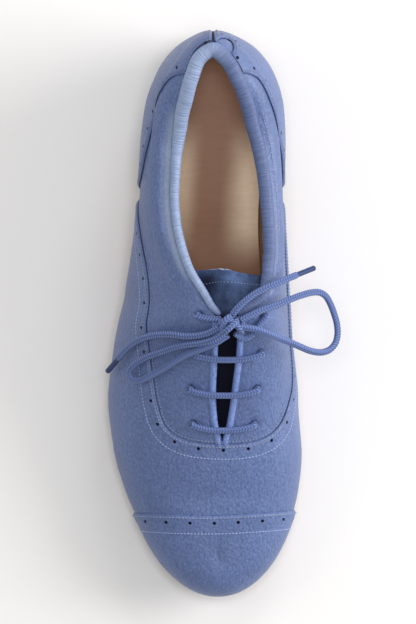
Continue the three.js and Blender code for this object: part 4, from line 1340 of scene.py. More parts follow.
def lace_piece(name, points, node):
    line, length = catmull(points, 0.32)
    obj = sweep(name, line, braid_radius(lace_radius()), LACE_SIDES)
    finish_piece(obj, "lace", lace_material(), node)
    return obj, line, length


AGLET_OVERLAP = 0.4
AGLET_STEPS = 40
AGLET_END = 0.72
AGLET_ROUND = 0.5
AGLET_FLATTEN = 0.92


def make_aglet(name, rows, node, material):
    points = from_list(rows)
    way = unit(points[-1] - points[-2])
    full = AGLET_LENGTH + GAP
    line = points[-1] - way * AGLET_OVERLAP + np.outer(np.linspace(0, full, AGLET_STEPS), way)
    radius = sizes().aglet_diameter / MM / 2

    def radius_of(length, angle):
        ends = np.clip(np.minimum(length, full - length) / AGLET_ROUND, 0, 1)
        size = radius * (AGLET_END + (1 - AGLET_END) * ends**0.5)
        return size, size * AGLET_FLATTEN

    return finish_piece(sweep(name, line, radius_of, LACE_SIDES), "aglet", material, node)


def make_cords():
    knot = make_knot()
    aglet = plain_material("aglet", colour("aglet"), 0.35, Specular_IOR_Level=0.3)
    for side, rows in (("lateral", END_LATERAL), ("medial", END_MEDIAL)):
        tip = make_aglet(f"bow_aglet_{side}", rows, f"aglet_{side}", aglet)
        obj, line, length = lace_piece(f"bow_end_{side}", from_list(rows), f"lace_end_{side}")
    for side, rows in (("lateral", LOOP_LATERAL), ("medial", LOOP_MEDIAL)):
        obj, line, length = lace_piece(f"bow_loop_{side}", from_list(rows), f"lace_loop_{side}")


# The bow's knot, as the lace's own turns about its middle: offsets from KNOT_MIDDLE.
KNOT_TURNS = (
    ((-3.4, -4.6, -2.4), (-3.2, -1.2, 1.2), (-1.6, 2.2, 2.2), (0.8, 3.8, 0.4), (1.8, 4.0, -2.2)),
    ((4.6, 2.4, -1.0), (2.2, 0.4, 2.4), (-0.6, -2.2, 2.8), (-3.0, -4.0, 0.6), (-4.2, -4.6, -2.0)),
    ((-4.8, -0.6, -2.0), (-2.4, 1.6, 0.6), (1.4, 1.0, 1.6), (4.4, -2.0, 0.8), (5.6, -3.6, -1.6)),
)
KNOT_TIGHT = 0.94
KNOT_STEP = 0.5
KNOT_SIDES = 18


def make_knot():
    middle = from_list([KNOT_MIDDLE])[0]
    places, faces, uv = [], [], []
    for turn in KNOT_TURNS:
        line, _ = catmull(middle + np.array(turn), KNOT_STEP)
        corners, quads, lengths = tube(line, braid_radius(lace_radius() * KNOT_TIGHT), KNOT_SIDES)
        faces += [tuple(len(places) + v for v in quad) for quad in quads]
        places += list(corners)
        uv += list(lengths)
    obj = new_object("bow_knot", places, faces, uv=uv)
    return finish_piece(obj, "lace", lace_material(), "lace_knot")


# How deep in its eyelet the lace ends, and where a bar's points lie between the ridge and its eyelet.
EYELET_DEPTH = 1.6
BAR_PARTS = (0.85, 0.62, 0.4)


def eyelet_at(side, row):
    return side, row[0], BALL_WIDTH * row[2 if side == INNER else 1]


def eyelet_line(side, row):
    place, normal = surface_at(*eyelet_at(side, row)), surface_normal(*eyelet_at(side, row))
    return [place - normal * EYELET_DEPTH, place + normal * lace_radius()]


def bar_points(row):
    def across(side, part):
        _, share, out = eyelet_at(side, row)
        at = side, share + LACE_BOW / LAST_LENGTH * (1 - part * part), out * part
        return surface_at(*at) + surface_normal(*at) * (lace_radius() + LACE_LIFT)

    return [
        *eyelet_line(OUTER, row),
        *(across(OUTER, part) for part in BAR_PARTS),
        *(across(INNER, part) for part in reversed(BAR_PARTS)),
        *reversed(eyelet_line(INNER, row)),
    ]


def make_lacing():
    for i, row in enumerate(EYELETS[1:], 1):
        lace_piece(f"lacing_bar_{i}", bar_points(row), f"lace_bar_{i}")
    for side, name, rows in ((OUTER, "lateral", RUN_LATERAL), (INNER, "medial", RUN_MEDIAL)):
        points = [*eyelet_line(side, EYELETS[0]), *from_list(rows)]
        lace_piece(f"lacing_run_{name}", points, f"lace_run_{name}")


# The quarters' edge is drawn down along the collar and facings, and the leather dips about each eyelet.
EDGE_DRAWN = 0.6
EDGE_DRAWN_WIDTH = 1.3
EYELET_DIP = 0.45
EYELET_DIP_WIDTH = 1.2
# A painted highlight on the outer side's padding beside the roll, as ranges of distance below the
# topline and of share within which the leather is paler.
HIGHLIGHT_STRIP = ((-0.9, -0.2, 1.0, 3.2), (-0.46, -0.41, -0.16, -0.1))
HIGHLIGHT_AMOUNT = 0.8
# How much paler the facings' fold is painted, a painted highlight on its rounded edge.
FOLD_HIGHLIGHT = 1.75
NO_STRIP = 99.0


def make_quarters():
    table, triangles = skin()
    table, triangles, _ = cut(table, triangles, table[:, BELOW] - FACING_FOLD, keep_both=True)
    eyelets = [eyelet_at(side, row) for row in EYELETS for side in SIDES]
    for at in eyelets:
        centre, normal = surface_at(*at), surface_normal(*at)
        table, triangles = punch(table, triangles, centre, normal, EYELET_SHOWN, EYELET_SEGMENTS)
    height = dressed_height(table)
    drawn = EDGE_DRAWN * (1 - np.sqrt(np.clip(table[:, BELOW] / EDGE_DRAWN_WIDTH, 0, 1)))
    height -= smoothstep(FOLD_END[1] - table[:, SHARE], 0, 0.01) * drawn
    for at in eyelets:
        distance = np.linalg.norm(table[:, PLACE] - surface_at(*at), axis=1) - EYELET_SHOWN
        height -= EYELET_DIP * bell(np.clip(distance, 0, None), EYELET_DIP_WIDTH)
    places = raised(table, height)
    places, faces = with_skirt(places, area_normals(places, triangles), triangles, WALL)
    uv = np.full((len(places), 2), NO_STRIP)
    uv[: len(table)] = np.stack([table[:, BELOW], table[:, SIDE] * table[:, SHARE]], 1)
    obj = new_object("quarters", places, faces, uv=uv)
    # The painted highlight's colour: a share of the binding's lit colour.
    highlight_tone = tuple(HIGHLIGHT_AMOUNT * value for value in colour("binding"))
    material = leather_material("quarter_leather", colour("leather"), HIGHLIGHT_STRIP, highlight_tone)
    finish_piece(obj, "upper_leather", material, "upper")
    # Painted highlight: the fold's faces between these shares take a paler leather.
    middle = table[triangles].mean(1)
    start, end = FOLD_HIGHLIGHT_SHARES
    fold_highlight = (middle[:, BELOW] < FACING_FOLD) & (middle[:, SHARE] > start) & (middle[:, SHARE] < end)
    colour_faces(obj, leather("facing_fold", FOLD_HIGHLIGHT), np.nonzero(fold_highlight)[0])
    colour_faces(obj, cut_edge(), np.arange(len(triangles), len(faces)))
    make_lining()


LINING_BELOW = 5.0
LINING_STATIONS = 150
LINING_CLOSES = (0.73, 0.745)
LINING_DEPTH = 0.97


def make_lining():
    """The wall's inner face in lining leather, from a little below the topline down."""
    rows = np.concatenate([np.linspace(0, 0.96, 34), [0.975, 0.99, 1]])
    table, triangles = surface_grid(cosine_shares(LINING_STATIONS), rows)
    closed = smoothstep(table[:, SHARE], *LINING_CLOSES)
    table, triangles, _ = cut(table, triangles, table[:, BELOW] - LINING_BELOW * (1 - 2 * closed))
    obj = new_object("lining", raised(table, -WALL * LINING_DEPTH), triangles[:, ::-1])
    material = plain_material("lining_leather", colour("lining"), 0.6, 0.25, 1300)
    finish_piece(obj, "insole_leather", material)


# Rows of holes: how far inside the panel's cut edge, their pitch, and a plan point near one of them.
VAMP_HOLES = (2.7, 11.4, (8.4, -65.1))
CAP_HOLES = (3.7, 10.9, (4.2, -97.9))
COUNTER_HOLES = {OUTER: (3.3, 9.6, (-21.7, 100.9)), INNER: (3.3, 9.6, (27.5, 107.2))}
# Rows of stitches, by how far inside the cut edge they run; QUARTER_ROW lies on the quarters beside the
# vamp's edge, and PAD_ROW below the topline, between two places in plan.
EDGE_ROW = 1.25
VAMP_ROW = 7.0
CAP_ROW = 8.8
QUARTER_ROW = 0.95
PAD_ROW = 2.2
PAD_STITCHED = (18.0, 92.0)
# The inner counter leaves a small round of the quarter bare beside the back seam: its plan middle
# and radius.
SCOOP = (8.6, 121.6, 4.3)
# What a counter's field is on the shoe's other side: well outside.
OTHER_SIDE = -5.0


def quarter_stitches():
    """The row on the quarters' side of the vamp's edge, and the row that holds the collar's padding."""
    table, triangles = skin()
    table, triangles, on_line = cut(table, triangles, -side_field(table, vamp_outline))
    table = np.column_stack([table, seam_distance(table, triangles, on_line, 5.0)])
    sheet = table, triangles, dressed_height(table)
    front, back = PAD_STITCHED
    pad = stitch_rows(sheet, PAD_ROW, BELOW)
    return stitch_rows(sheet, QUARTER_ROW) + [row for row in pad if front < row[0][1] < back]


def counter_field(table, side):
    seam = side_field(table, counter_outline)
    past = (table[:, 0] - BALL_WIDTH * float(section["middle"](0))) * side - GAP
    if side == INNER:
        x, y, size = SCOOP
        past = np.minimum(past, np.hypot(table[:, 0] - x, table[:, 1] - y) - size)
    own = (table[:, SIDE] == side) | (np.abs(table[:, SHARE]) < TINY)
    return np.minimum(np.where(own, seam, OTHER_SIDE), past)


def make_panels():
    vamp, hole_shadow_places = overlay(
        "vamp_panel", lambda table: side_field(table, vamp_outline), 1, VAMP_HOLES, "vamp")
    edges = stitch_rows(vamp, EDGE_ROW) + quarter_stitches()
    cap, holes = overlay("toe_cap_panel", cap_field, 2, CAP_HOLES, "toe_cap", CAP_FLARE_FADE)
    edges += stitch_rows(cap, EDGE_ROW)
    hole_shadow_places += [(centre + normal * LAYER, normal) for centre, normal in holes]
    counters = []
    for name, side in (("lateral", OUTER), ("medial", INNER)):
        counter, holes = overlay(
            f"counter_{name}_panel", lambda table, own=side: counter_field(table, own), 1,
            COUNTER_HOLES[side], f"counter_{name}")
        counters += stitch_rows(counter, EDGE_ROW)
        hole_shadow_places += holes
    stitch_mesh("seam_stitches", stitch_rows(vamp, VAMP_ROW) + stitch_rows(cap, CAP_ROW), thread())
    stitch_mesh("edge_stitches", edges, edge_thread(), EDGE_STITCH_WIDTH)
    stitch_mesh("counter_stitches", counters, thread("counter_thread", 0.36))
    make_hole_shadows(hole_shadow_places)


FLOOR_SIDES = 10
FLOOR_LIFT = 0.15
FLOOR_WIDE = 1.3
SLOT_HALF = 0.55
SLOT_BEHIND = 0.7
SLOT_ROWS = (0.1, 0.995, 60)


def make_hole_shadows(holes):
    """A dark disk in every hole, and a dark band behind the counters' slot at the back seam: both are
    painted shadow, where the leather below lies in shade.
    """
    places = []
    faces = []
    for centre, normal in holes:
        first = unit(np.cross(normal, [0, 1, 0]))
        second = np.cross(normal, first)
        faces.append(tuple(range(len(places), len(places) + FLOOR_SIDES)))
        places += [centre + normal * FLOOR_LIFT
                   + (first * math.cos(angle) + second * math.sin(angle)) * HOLE_RADIUS * FLOOR_WIDE
                   for angle in turn_angles(FLOOR_SIDES)]
    line, _ = station_points(OUTER, 0.0, np.linspace(*SLOT_ROWS))
    start = len(places)
    places += [place + [across, SLOT_BEHIND, 0] for place in line for across in (-SLOT_HALF, SLOT_HALF)]
    faces += [(k, k + 1, k + 3, k + 2) for k in range(start, len(places) - 2, 2)]
    material = plain_material("hole_shadow", colour("dark"), 0.9)
    obj = new_object("hole_floors", places, faces, smooth=False)
    finish_piece(obj, "upper_leather", material)


# The roll's width and height, as shares of the solid's diameter: share along the shoe, outer side and
# inner side width, height.
ROLL_SIZES = (
    (0.0, 1.28, 1.28, 0.95),
    (0.09, 1.3, 1.24, 0.92),
    (0.16, 1.18, 1.2, 0.9),
    (0.22, 0.9, 1.14, 0.9),
    (0.3, 0.8, 1.14, 0.9),
    (0.4, 0.76, 1.08, 0.85),
    (0.45, 0.7, 1.0, 0.76),
    (0.5, 0.6, 0.7, 0.6),
)
# Where the roll runs out into the facings, as a share of the length; its stations, closer together
# towards the back; how far it stands in and up from the topline; and the row below the topline that
# gives its lean.
ROLL_END = 0.505
ROLL_STATIONS = 150
ROLL_CROWDING = 1.6
ROLL_IN = 0.1
ROLL_UP = 0.12
ROLL_BELOW = 0.97
ROLL_SIDES = 28
ROLL_SMOOTHING = 9
# The puckers: their height, the range of their pitch, their lag round the roll, and its tapered ends.
PUCKER = 0.03
PUCKER_PITCH = (1.1, 1.7)
PUCKER_COUNT = 400
PUCKER_LAG = 0.7
ROLL_TAPER = 4
ROLL_TIP = 0.35


def binding_path():
    """The roll's middle line with its own way in and its two radii at each point."""
    shares = np.linspace(0, 1, ROLL_STATIONS) ** ROLL_CROWDING * ROLL_END
    path = [(OUTER, s) for s in shares[:0:-1]] + [(OUTER, 0.0)] + [(INNER, s) for s in shares[1:]]
    at, wide_outer, wide_inner, tall = np.array(ROLL_SIZES).T
    rows = []
    for side, share in path:
        (top, low), _ = station_points(side, share, np.array([1.0, ROLL_BELOW]))
        inward = np.array([*-station_plan(side, share)[2], 0])
        lean = unit(unit(top - low) * math.cos(BINDING_LEAN) + inward * math.sin(BINDING_LEAN))
        wide = BINDING_RADIUS * np.interp(share, at, wide_outer if side == OUTER else wide_inner)
        high = BINDING_RADIUS * np.interp(share, at, tall)
        rows.append([*(top + inward * (wide + ROLL_IN) + lean * high * ROLL_UP), *inward, wide, high])
    return np.array(rows)


def make_binding():
    """The rolled edge: a flattened roll, drawn up by its stitches into fine uneven puckers."""
    rows = binding_path()
    lengths = running_lengths(rows[:, PLACE])
    steps = np.arange(0, lengths[-1], 0.28)
    rows = sampled(rows, lengths, steps)
    for i in range(6):
        padded = np.pad(rows[:, i], ROLL_SMOOTHING // 2, mode="edge")
        rows[:, i] = np.convolve(padded, np.ones(ROLL_SMOOTHING) / ROLL_SMOOTHING, "valid")
    way = unit(np.gradient(rows[:, PLACE], axis=0))
    inward = unit(rows[:, 3:6] - way * (rows[:, 3:6] * way).sum(1)[:, None])
    up = np.cross(way, inward)
    up *= np.sign(up[:, 2:])
    angle = turn_angles(ROLL_SIDES)
    generator = np.random.default_rng(4)
    beats = np.cumsum(generator.uniform(*PUCKER_PITCH, PUCKER_COUNT))
    phase = np.interp(steps, beats, np.arange(PUCKER_COUNT))[:, None] * 2 * math.pi
    pucker = 1 + PUCKER * np.sin(phase + PUCKER_LAG * np.sin(2 * angle)) * (0.6 + 0.4 * np.cos(angle))
    ends = np.clip(np.minimum(steps, steps[-1] - steps) / ROLL_TAPER, 0, 1)[:, None] ** 0.5
    size = pucker * (ROLL_TIP + (1 - ROLL_TIP) * ends)
    across = inward[:, None] * (rows[:, 6:7] * size * np.cos(angle))[..., None]
    raise_by = up[:, None] * (rows[:, 7:8] * size * np.sin(angle))[..., None]
    places = (rows[:, None, PLACE] + across + raise_by).reshape(-1, 3)
    count = len(rows)
    faces = tube_faces(count, ROLL_SIDES)
    faces += [tuple(range(ROLL_SIDES))[::-1], tuple(range((count - 1) * ROLL_SIDES, count * ROLL_SIDES))]
    uv = np.stack([np.repeat(steps, ROLL_SIDES), np.tile(angle / (2 * math.pi), count)], 1)
    obj = new_object("collar_roll", places, faces, uv=uv)
    material = binding_material("binding", colour("binding"), colour("binding_shaded"))
    finish_piece(obj, "upper_leather", material, "collar_binding")


def tongue_point(side, share, fraction):
    ridge, widest, way, reach = station_plan(side, share)
    full = float(fullness[side](share))
    wide = float(sole_top(widest[1])) + CUP_HEIGHT * float(section["bulge"](share))
    crown = float(sole_top(ridge[1])) + INSTEP_HEIGHT * float(section["crown"](share))
    free = max(0, (0.5 - share) / (0.5 - TONGUE_TOP))
    out = TONGUE_WIDTH / 2 * (1 - fraction) * (1 + TONGUE_FLARE * free * free)
    rounded = (1 - (out / reach) ** full) ** (1 / full)
    room = max(GAP, reach * max(0.0, float(edge[side](share))) - 2 * BINDING_RADIUS - GAP)
    arch = max(0, 1 - (out / room) ** 2) ** 2
    lift = TONGUE_LIFT * free**TONGUE_CURL * arch
    return np.array([*(ridge + way * out), wide + (crown - wide) * rounded + lift])


# Folds across the tongue's free end: share, then depth and half width along the shoe in millimetres.
TONGUE_FOLDS = ((0.437, -0.5, 2.2), (0.449, 0.45, 2.0), (0.463, -0.55, 2.4), (0.478, 0.5, 2.2))
TONGUE_STATIONS = 150
TONGUE_HALF_COLUMNS = 24
TONGUE_SHOWN = 0.8
# Its cut end slants back, is ragged at its first two stations, and is drawn in over its first twelve.
SLANT = 1.8
SLANT_LEFT = 0.2
END_SHORT = 0.6
FRAY = (-0.25, 0.3)
FRAY_KNOTS = 15
FRAYED_STATIONS = 2
SLANTED_STATIONS = 12
# The row of stitches across it.
TONGUE_STITCH_PITCH = 1.7
TONGUE_STITCH_START = 0.9
TONGUE_STITCH_WIDTH = 0.36
TONGUE_STITCH_LENGTH = 0.9


def tongue_faces(count, rows, half):
    """Quads of a slab of two grids, and those of its rim."""
    faces = []
    rim = []

    def rim_quad(a, b, turn):
        rim.append((a, half + a, half + b, b) if turn else (a, b, half + b, half + a))

    for i in range(rows - 1):
        for j in range(count - 1):
            a, b = i * count + j, (i + 1) * count + j
            faces.append((a, b, b + 1, a + 1))
            faces.append((half + a, half + a + 1, half + b + 1, half + b))
        for j, turn in ((0, True), (count - 1, False)):
            rim_quad(i * count + j, (i + 1) * count + j, turn)
    for j in range(count - 1):
        for i, turn in ((0, False), (rows - 1, True)):
            rim_quad(i * count + j, i * count + j + 1, turn)
    return faces, rim


def make_tongue():
    shares = np.linspace(TONGUE_TOP, TONGUE_ROOT, TONGUE_STATIONS)
    parts = np.linspace(0, 1, TONGUE_HALF_COLUMNS)
    columns = [(OUTER, p) for p in parts] + [(INNER, p) for p in parts[::-1][1:]]
    grid = np.array([[tongue_point(side, share, part) for side, part in columns] for share in shares])
    rows, count = grid.shape[:2]
    normals = unit(np.cross(np.gradient(grid, axis=1), np.gradient(grid, axis=0)))
    normals = np.where(normals[..., 2:] < 0, -normals, normals)
    width = np.linspace(-1, 1, count)
    for share, depth, size in TONGUE_FOLDS:
        bend = share + 0.006 * np.sin(2.4 * width + 40 * share)
        away = (shares[:, None] - bend[None, :]) * LAST_LENGTH
        grid[..., 2] += depth * bell(away, size) * (1 - 0.5 * width[None, :] ** 2)
    inside = WALL + TONGUE_CLEARANCE
    top = grid - normals * inside
    bottom = grid - normals * (inside + TONGUE_THICKNESS * TONGUE_SHOWN)
    generator = np.random.default_rng(7)
    knots = np.linspace(0, count, FRAY_KNOTS)
    frayed = np.interp(np.arange(count), knots, generator.uniform(*FRAY, FRAY_KNOTS))
    drop = END_SHORT + SLANT * np.linspace(-SLANT_LEFT, 1, count)
    for sheet in (top, bottom):
        for i in range(SLANTED_STATIONS):
            sheet[i, :, 1] -= (drop - frayed * (i < FRAYED_STATIONS)) * (1 - i / SLANTED_STATIONS)
    places = np.concatenate([top.reshape(-1, 3), bottom.reshape(-1, 3)])
    along = np.repeat((shares - TONGUE_TOP) * LAST_LENGTH, count)
    uv = np.stack([along, np.tile(width, rows)], 1)
    faces, rim = tongue_faces(count, rows, rows * count)
    obj = new_object("tongue_leaf", places, faces + rim, uv=np.vstack([uv, uv]))
    suede = suede_material("tongue_suede", colour("tongue"), colour("dark"))
    finish_piece(obj, "upper_leather", suede, "tongue")
    raw = plain_material("raw_edge", colour("raw_edge"), 0.9, 0.4, 1500)
    colour_faces(obj, raw, np.arange(len(faces), len(faces) + len(rim)))
    line = np.concatenate([top[SLANTED_STATIONS - 1], normals[SLANTED_STATIONS - 1]], 1)
    points, ways = resample(line, TONGUE_STITCH_PITCH, TONGUE_STITCH_START)
    rows = [(p[PLACE] + p[NORMAL] * 0.1, p[NORMAL], w) for p, w in zip(points, ways)]
    # The tongue's row also takes the dimmed edge thread, as painted shade.
    stitch_mesh("tongue_stitches", rows, edge_thread(), TONGUE_STITCH_WIDTH, TONGUE_STITCH_LENGTH)


def plate_ring(shares, margin, inset, height):
    """A ring round a plate, as the outer and the inner side's places."""
    sides = []
    for side in SIDES:
        line = []
        for share in shares:
            _, widest, way, _ = station_plan(side, share)
            place = widest - way * (margin(side, share) + inset)
            line.append([*place, height(place[1])])
        sides.append(line)
    return np.array(sides)


PLATE_COLUMNS = 17


def plate_object(name, shares, margin, rings, dish=lambda side: 0.0):
    """A closed plate lofted through rings of (inset, height function) from the top down.

    dish gives how far its top rises, by share from its middle to its sides.
    """
    loops = [plate_ring(shares, margin, inset, height) for inset, height in rings]
    parts = np.linspace(0, 1, PLATE_COLUMNS)
    places, uvs, faces = [], [], []

    def cap(loop, up):
        start = len(places)
        for i, share in enumerate(shares):
            for part in parts:
                place = loop[0][i] * (1 - part) + loop[1][i] * part
                places.append(place + UP * dish(abs(2 * part - 1)) if up else place)
                uvs.append((2 * part - 1, share))
        for i in range(len(shares) - 1):
            for a in range(start + i * PLATE_COLUMNS, start + (i + 1) * PLATE_COLUMNS - 1):
                face = (a, a + PLATE_COLUMNS, a + PLATE_COLUMNS + 1, a + 1)
                faces.append(face if up else face[::-1])

    cap(loops[0], True)
    start = len(places)
    for k, loop in enumerate(loops):
        places.extend(np.concatenate([loop[0], loop[1][::-1]]) + UP * (0 if k else dish(1.0)))
    size = 2 * len(shares)
    uvs.extend([(1.0, 0.5)] * size * len(loops))
    for k in range(len(loops) - 1):
        for i in range(size):
            a, b = start + k * size + i, start + k * size + (i + 1) % size
            faces.append((a, a + size, b + size, b))
    cap(loops[-1], False)
    return new_object(name, places, faces, uv=uvs)


def sole_margin(side, share):
    return FEATHER_INSET * float(tuck[side](share)) - SOLE_WELT


def insole_margin(side, share):
    return FEATHER_INSET * float(tuck[side](share)) + INSOLE_CLEARANCE


def shifted(height, by):
    return lambda y: height(y) + by


INSOLE_STATIONS = 140
INSOLE_ROUND = (0.6, 0.5)
INSOLE_DISH = 1.4


def make_insole():
    low = shifted(sole_top, GAP)
    top = shifted(low, INSOLE_THICKNESS)
    inset, drop = INSOLE_ROUND
    rings = ((inset, top), (0.0, shifted(top, -drop)), (0.0, low))
    obj = plate_object("sock", cosine_shares(INSOLE_STATIONS), insole_margin, rings,
                       lambda side: INSOLE_DISH * side**3)
    # The insole's middle colour is also painted shade, and the lining's paler colour on its sides is
    # painted light.
    material = insole_material("insole", colour("insole"), colour("lining"))
    finish_piece(obj, "insole_leather", material, "insole")


SOLE_STATIONS = 200
SOLE_TOP_ROUND = (0.35, 0.45)
SOLE_WAIST = 0.55
SOLE_EDGE = 0.3
HEEL_STATIONS = 90
HEEL_LAYERS = 5
HEEL_EDGE = 0.3
HEEL_GROOVE = 0.22


def make_sole():
    inset, drop = SOLE_TOP_ROUND
    rings = (
        (inset, sole_top),
        (0.0, shifted(sole_top, -drop)),
        (0.0, lambda y: sole_top(y) * (1 - SOLE_WAIST) + sole_bottom(y) * SOLE_WAIST),
        (SOLE_EDGE, shifted(sole_bottom, SOLE_EDGE)),
        (SOLE_BEVEL, sole_bottom),
    )
    obj = plate_object("sole_leather_plate", cosine_shares(SOLE_STATIONS), sole_margin, rings)
    material = plain_material("sole_leather", colour("sole"), 0.5, 0.3, 500, Coat_Weight=0.1)
    finish_piece(obj, "sole_leather", material, "outsole")
    make_heel()


def make_heel():
    """The heel's stack, with a fine groove between its layers."""
    shares = (1 - np.cos(np.linspace(0, math.pi / 2, HEEL_STATIONS))) * HEEL_REACH
    shares = [*shares[shares < HEEL_REACH - 0.002], HEEL_REACH]
    low = TAP_THICKNESS + GAP
    rings = []
    for i in range(HEEL_LAYERS + 1):
        part = i / HEEL_LAYERS
        inset = SOLE_BEVEL + (HEEL_TAPER - SOLE_BEVEL) * part

        def level(y, part=part):
            return (sole_bottom(y) - GAP) * (1 - part) + low * part

        if i:
            rings.append((inset, shifted(level, HEEL_EDGE)))
        rings.append((inset + (HEEL_GROOVE if 0 < i < HEEL_LAYERS else HEEL_EDGE), level))
        if i < HEEL_LAYERS:
            rings.append((inset, shifted(level, -HEEL_EDGE)))
    obj = plate_object("heel_stack", shares, sole_margin, rings)
    material = plain_material("heel_leather", colour("heel"), 0.35, 0.2, 400, Coat_Weight=0.3)
    finish_piece(obj, "heel_leather", material, "heel")


def make_taps():
    tap = plain_material("tap_metal", colour("metal"), 0.32, 0.15, 700, Metallic=1.0)
    screw = plain_material("screw_steel", colour("metal"), 0.25, 0.1, 900, Metallic=1.0)
    for name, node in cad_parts.items():
        if name in ("toe_tap", "heel_tap") or "screw" in name:
            node.data.materials.clear()
            node.data.materials.append(screw if "screw" in name else tap)


# The studio's lamps: name, place, size, power and tint. Each looks at the shoe.
LAMPS = (
    ("key", (1.6, 0.3, 0.8), 1.2, 29, (1.0, 0.985, 0.96)),
    ("back", (0.5, 1.6, 1.2), 0.8, 8, (1, 1, 1)),
    ("left", (-1.2, 0.3, 1.3), 0.9, 2.5, (1, 1, 1)),
    ("top", (0.05, 0.1, 2.0), 0.5, 10, (1, 1, 1)),
)
SKY = (1.0, 0.99, 0.95, 1)
SKY_STRENGTH = 0.45
FLOOR_REACH = 6.0
FLOOR_DROP = 0.0004


def area_light(name, location, size, power, tint):
    light = bpy.data.lights.new(name, "AREA")
    light.shape = "DISK"
    light.size = size
    light.energy = power
    light.color = tint
    obj = bpy.data.objects.new(name, light)
    obj.location = location
    obj.rotation_euler = (-Vector(location)).to_track_quat("-Z", "Y").to_euler()
    bpy.context.collection.objects.link(obj)
    return obj


def make_stage():
    mesh = bpy.data.meshes.new("floor")
    corners = [(x * FLOOR_REACH, y * FLOOR_REACH, 0) for x, y in ((-1, -1), (1, -1), (1, 1), (-1, 1))]
    mesh.from_pydata(corners, [], [(0, 1, 2, 3)])
    floor = bpy.data.objects.new("floor", mesh)
    floor.location.z = -FLOOR_DROP
    bpy.context.collection.objects.link(floor)
    mesh.materials.append(new_material("floor", colour("floor"), 0.9)[0])
    key, back, left, top = (area_light(*lamp) for lamp in LAMPS)
    world = bpy.data.worlds.new("studio")
    world.use_nodes = True
    background = world.node_tree.nodes["Background"]
    background.inputs["Color"].default_value = SKY
    background.inputs["Strength"].default_value = SKY_STRENGTH
    bpy.context.scene.world = world
    bpy.context.scene.view_settings.view_transform = "Standard"


def colour_property(name, description, default):
    return bpy.props.FloatVectorProperty(
        name=name, description=description, default=default, size=3, min=0, max=1, subtype="COLOR")


def length_property(name, description, default):
    return bpy.props.FloatProperty(
        name=name, description=description, default=default, unit="LENGTH", precision=5)


class TapShoeColours(bpy.types.PropertyGroup):
    """The shoe's colours, in linear values."""

    leather: colour_property("Leather", "Upper leather", (0.115, 0.17, 0.365))
    # The binding's two colours are a lit and a shaded copy of one leather: painted light on the outer
    # side, painted shade on the inner side.
    binding: colour_property("Binding", "Rolled collar binding", (0.28, 0.36, 0.56))
    binding_shaded: colour_property(
        "Inner binding", "The binding on the shoe's inner side", (0.09, 0.13, 0.28))
    tongue: colour_property("Tongue", "Tongue leather", (0.068, 0.108, 0.235))
    raw_edge: colour_property("Raw edge", "The tongue's cut edge", (0.4, 0.47, 0.62))
    cut_edge: colour_property("Cut edge", "Cut edges of the upper's leather", (0.018, 0.03, 0.085))
    thread: colour_property("Thread", "Seam thread", (0.36, 0.44, 0.7))
    lace: colour_property("Lace", "Braided lace", (0.095, 0.145, 0.35))
    aglet: colour_property("Aglet", "Lace tips", (0.02, 0.04, 0.14))
    # Also the insole's sides, where its paler tone is painted light.
    lining: colour_property("Lining", "Lining leather and the insole's sides", (0.97, 0.8, 0.62))
    # The insole's brown, darkened further as painted shade.
    insole: colour_property("Insole", "The insole's worn middle", (0.37, 0.205, 0.14))
    sole: colour_property("Sole", "Outsole leather", (0.42, 0.23, 0.1))
    heel: colour_property("Heel", "Heel stack", (0.05, 0.075, 0.18))
    metal: colour_property("Metal", "Taps and screws", (0.62, 0.63, 0.65))
    # Painted shadow: the discs in the punched holes, the band behind the back seam's slot and the
    # tongue's shaded parts take this colour.
    dark: colour_property("Hole shadow", "Floor of the punched holes", (0.003, 0.004, 0.014))
    floor: colour_property("Floor", "Studio floor", (0.86, 0.85, 0.855))


class TapShoeSizes(bpy.types.PropertyGroup):
    """Sizes that a user would change."""

    lace_diameter: length_property("Lace", "Diameter of the lace", 0.003)
    aglet_diameter: length_property("Aglet", "Diameter of the lace tips", 0.0025)
    camera_height: length_property("Camera height", "Height of the camera over the floor", 4.0)
    camera_plane: length_property("Camera plane", "Height at which the image has its span", 0.025)
    camera_span: length_property("Camera span", "Length of the image from top to bottom", 0.29053)
    camera_x: length_property("Camera X", "The camera's place across the shoe", 0.00147)
    camera_y: length_property("Camera Y", "The camera's place along the shoe", 0.00095)


class MakesPieces:
    """What each operator does: it runs its own function."""

    def execute(self, context):
        self.make()
        return {"FINISHED"}


class TAPSHOE_OT_camera(MakesPieces, bpy.types.Operator):
    """Adds the camera, straight above the shoe"""

    bl_idname = "tap_shoe.camera"
    bl_label = "Camera"
    make = staticmethod(make_camera)


class TAPSHOE_OT_bow(MakesPieces, bpy.types.Operator):
    """Adds the bow: its knot, two loops, two ends and their tips"""

    bl_idname = "tap_shoe.bow"
    bl_label = "Bow"
    make = staticmethod(make_cords)


class TAPSHOE_OT_lacing(MakesPieces, bpy.types.Operator):
    """Adds the lace's bars over the facings and its runs to the knot"""

    bl_idname = "tap_shoe.lacing"
    bl_label = "Lacing"
    make = staticmethod(make_lacing)


class TAPSHOE_OT_quarters(MakesPieces, bpy.types.Operator):
    """Adds the quarters with their facings, eyelets, padded collar and lining"""

    bl_idname = "tap_shoe.quarters"
    bl_label = "Quarters"
    make = staticmethod(make_quarters)


class TAPSHOE_OT_panels(MakesPieces, bpy.types.Operator):
    """Adds the vamp, toe cap and heel counters with their punched holes and stitches"""

    bl_idname = "tap_shoe.panels"
    bl_label = "Vamp, toe cap and counters"
    make = staticmethod(make_panels)


class TAPSHOE_OT_binding(MakesPieces, bpy.types.Operator):
    """Adds the rolled binding round the collar"""

    bl_idname = "tap_shoe.binding"
    bl_label = "Collar binding"
    make = staticmethod(make_binding)


class TAPSHOE_OT_tongue(MakesPieces, bpy.types.Operator):
    """Adds the tongue with its raw edge"""

    bl_idname = "tap_shoe.tongue"
    bl_label = "Tongue"
    make = staticmethod(make_tongue)


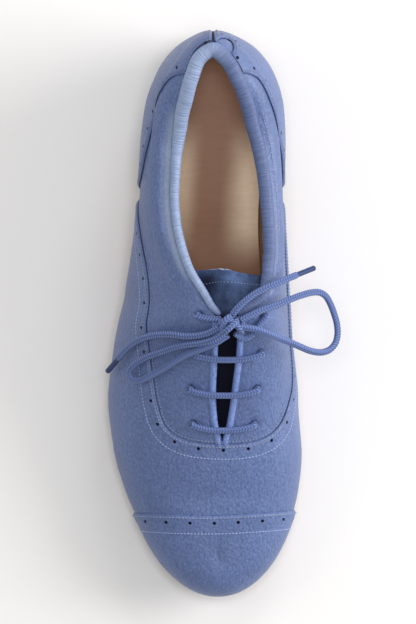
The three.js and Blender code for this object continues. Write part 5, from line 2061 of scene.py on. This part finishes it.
class TAPSHOE_OT_insole(MakesPieces, bpy.types.Operator):
    """Adds the insole"""

    bl_idname = "tap_shoe.insole"
    bl_label = "Insole"
    make = staticmethod(make_insole)


class TAPSHOE_OT_sole(MakesPieces, bpy.types.Operator):
    """Adds the outsole and the stacked heel"""

    bl_idname = "tap_shoe.sole"
    bl_label = "Outsole and heel"
    make = staticmethod(make_sole)


class TAPSHOE_OT_taps(MakesPieces, bpy.types.Operator):
    """Gives the taps and screws their metal"""

    bl_idname = "tap_shoe.taps"
    bl_label = "Taps and screws"
    make = staticmethod(make_taps)


class TAPSHOE_OT_stage(MakesPieces, bpy.types.Operator):
    """Adds the floor and the studio lights"""

    bl_idname = "tap_shoe.stage"
    bl_label = "Stage"
    make = staticmethod(make_stage)


OPERATORS = (
    TAPSHOE_OT_camera,
    TAPSHOE_OT_bow,
    TAPSHOE_OT_lacing,
    TAPSHOE_OT_quarters,
    TAPSHOE_OT_panels,
    TAPSHOE_OT_binding,
    TAPSHOE_OT_tongue,
    TAPSHOE_OT_insole,
    TAPSHOE_OT_sole,
    TAPSHOE_OT_taps,
    TAPSHOE_OT_stage,
)


class TAPSHOE_PT_panel(bpy.types.Panel):
    """Lists the shoe's pieces, sizes and colours"""

    bl_idname = "TAPSHOE_PT_panel"
    bl_label = "Tap shoe"
    bl_space_type = "VIEW_3D"
    bl_region_type = "UI"
    bl_category = "Tap shoe"

    def draw(self, context):
        for operator in OPERATORS:
            self.layout.operator(operator.bl_idname)
        for group in (context.scene.tap_shoe_sizes, context.scene.tap_shoe_colours):
            for name in type(group).__annotations__:
                self.layout.prop(group, name)


CLASSES = (TapShoeColours, TapShoeSizes, *OPERATORS, TAPSHOE_PT_panel)


def register():
    for cls in CLASSES:
        bpy.utils.register_class(cls)
    bpy.types.Scene.tap_shoe_colours = bpy.props.PointerProperty(type=TapShoeColours)
    bpy.types.Scene.tap_shoe_sizes = bpy.props.PointerProperty(type=TapShoeSizes)


def unregister():
    del bpy.types.Scene.tap_shoe_sizes
    del bpy.types.Scene.tap_shoe_colours
    for cls in reversed(CLASSES):
        bpy.utils.unregister_class(cls)


def main():
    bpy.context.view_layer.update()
    register()
    for operator in OPERATORS:
        category, name = operator.bl_idname.split(".")
        getattr(getattr(bpy.ops, category), name)()


if __name__ == "__main__":
    main()
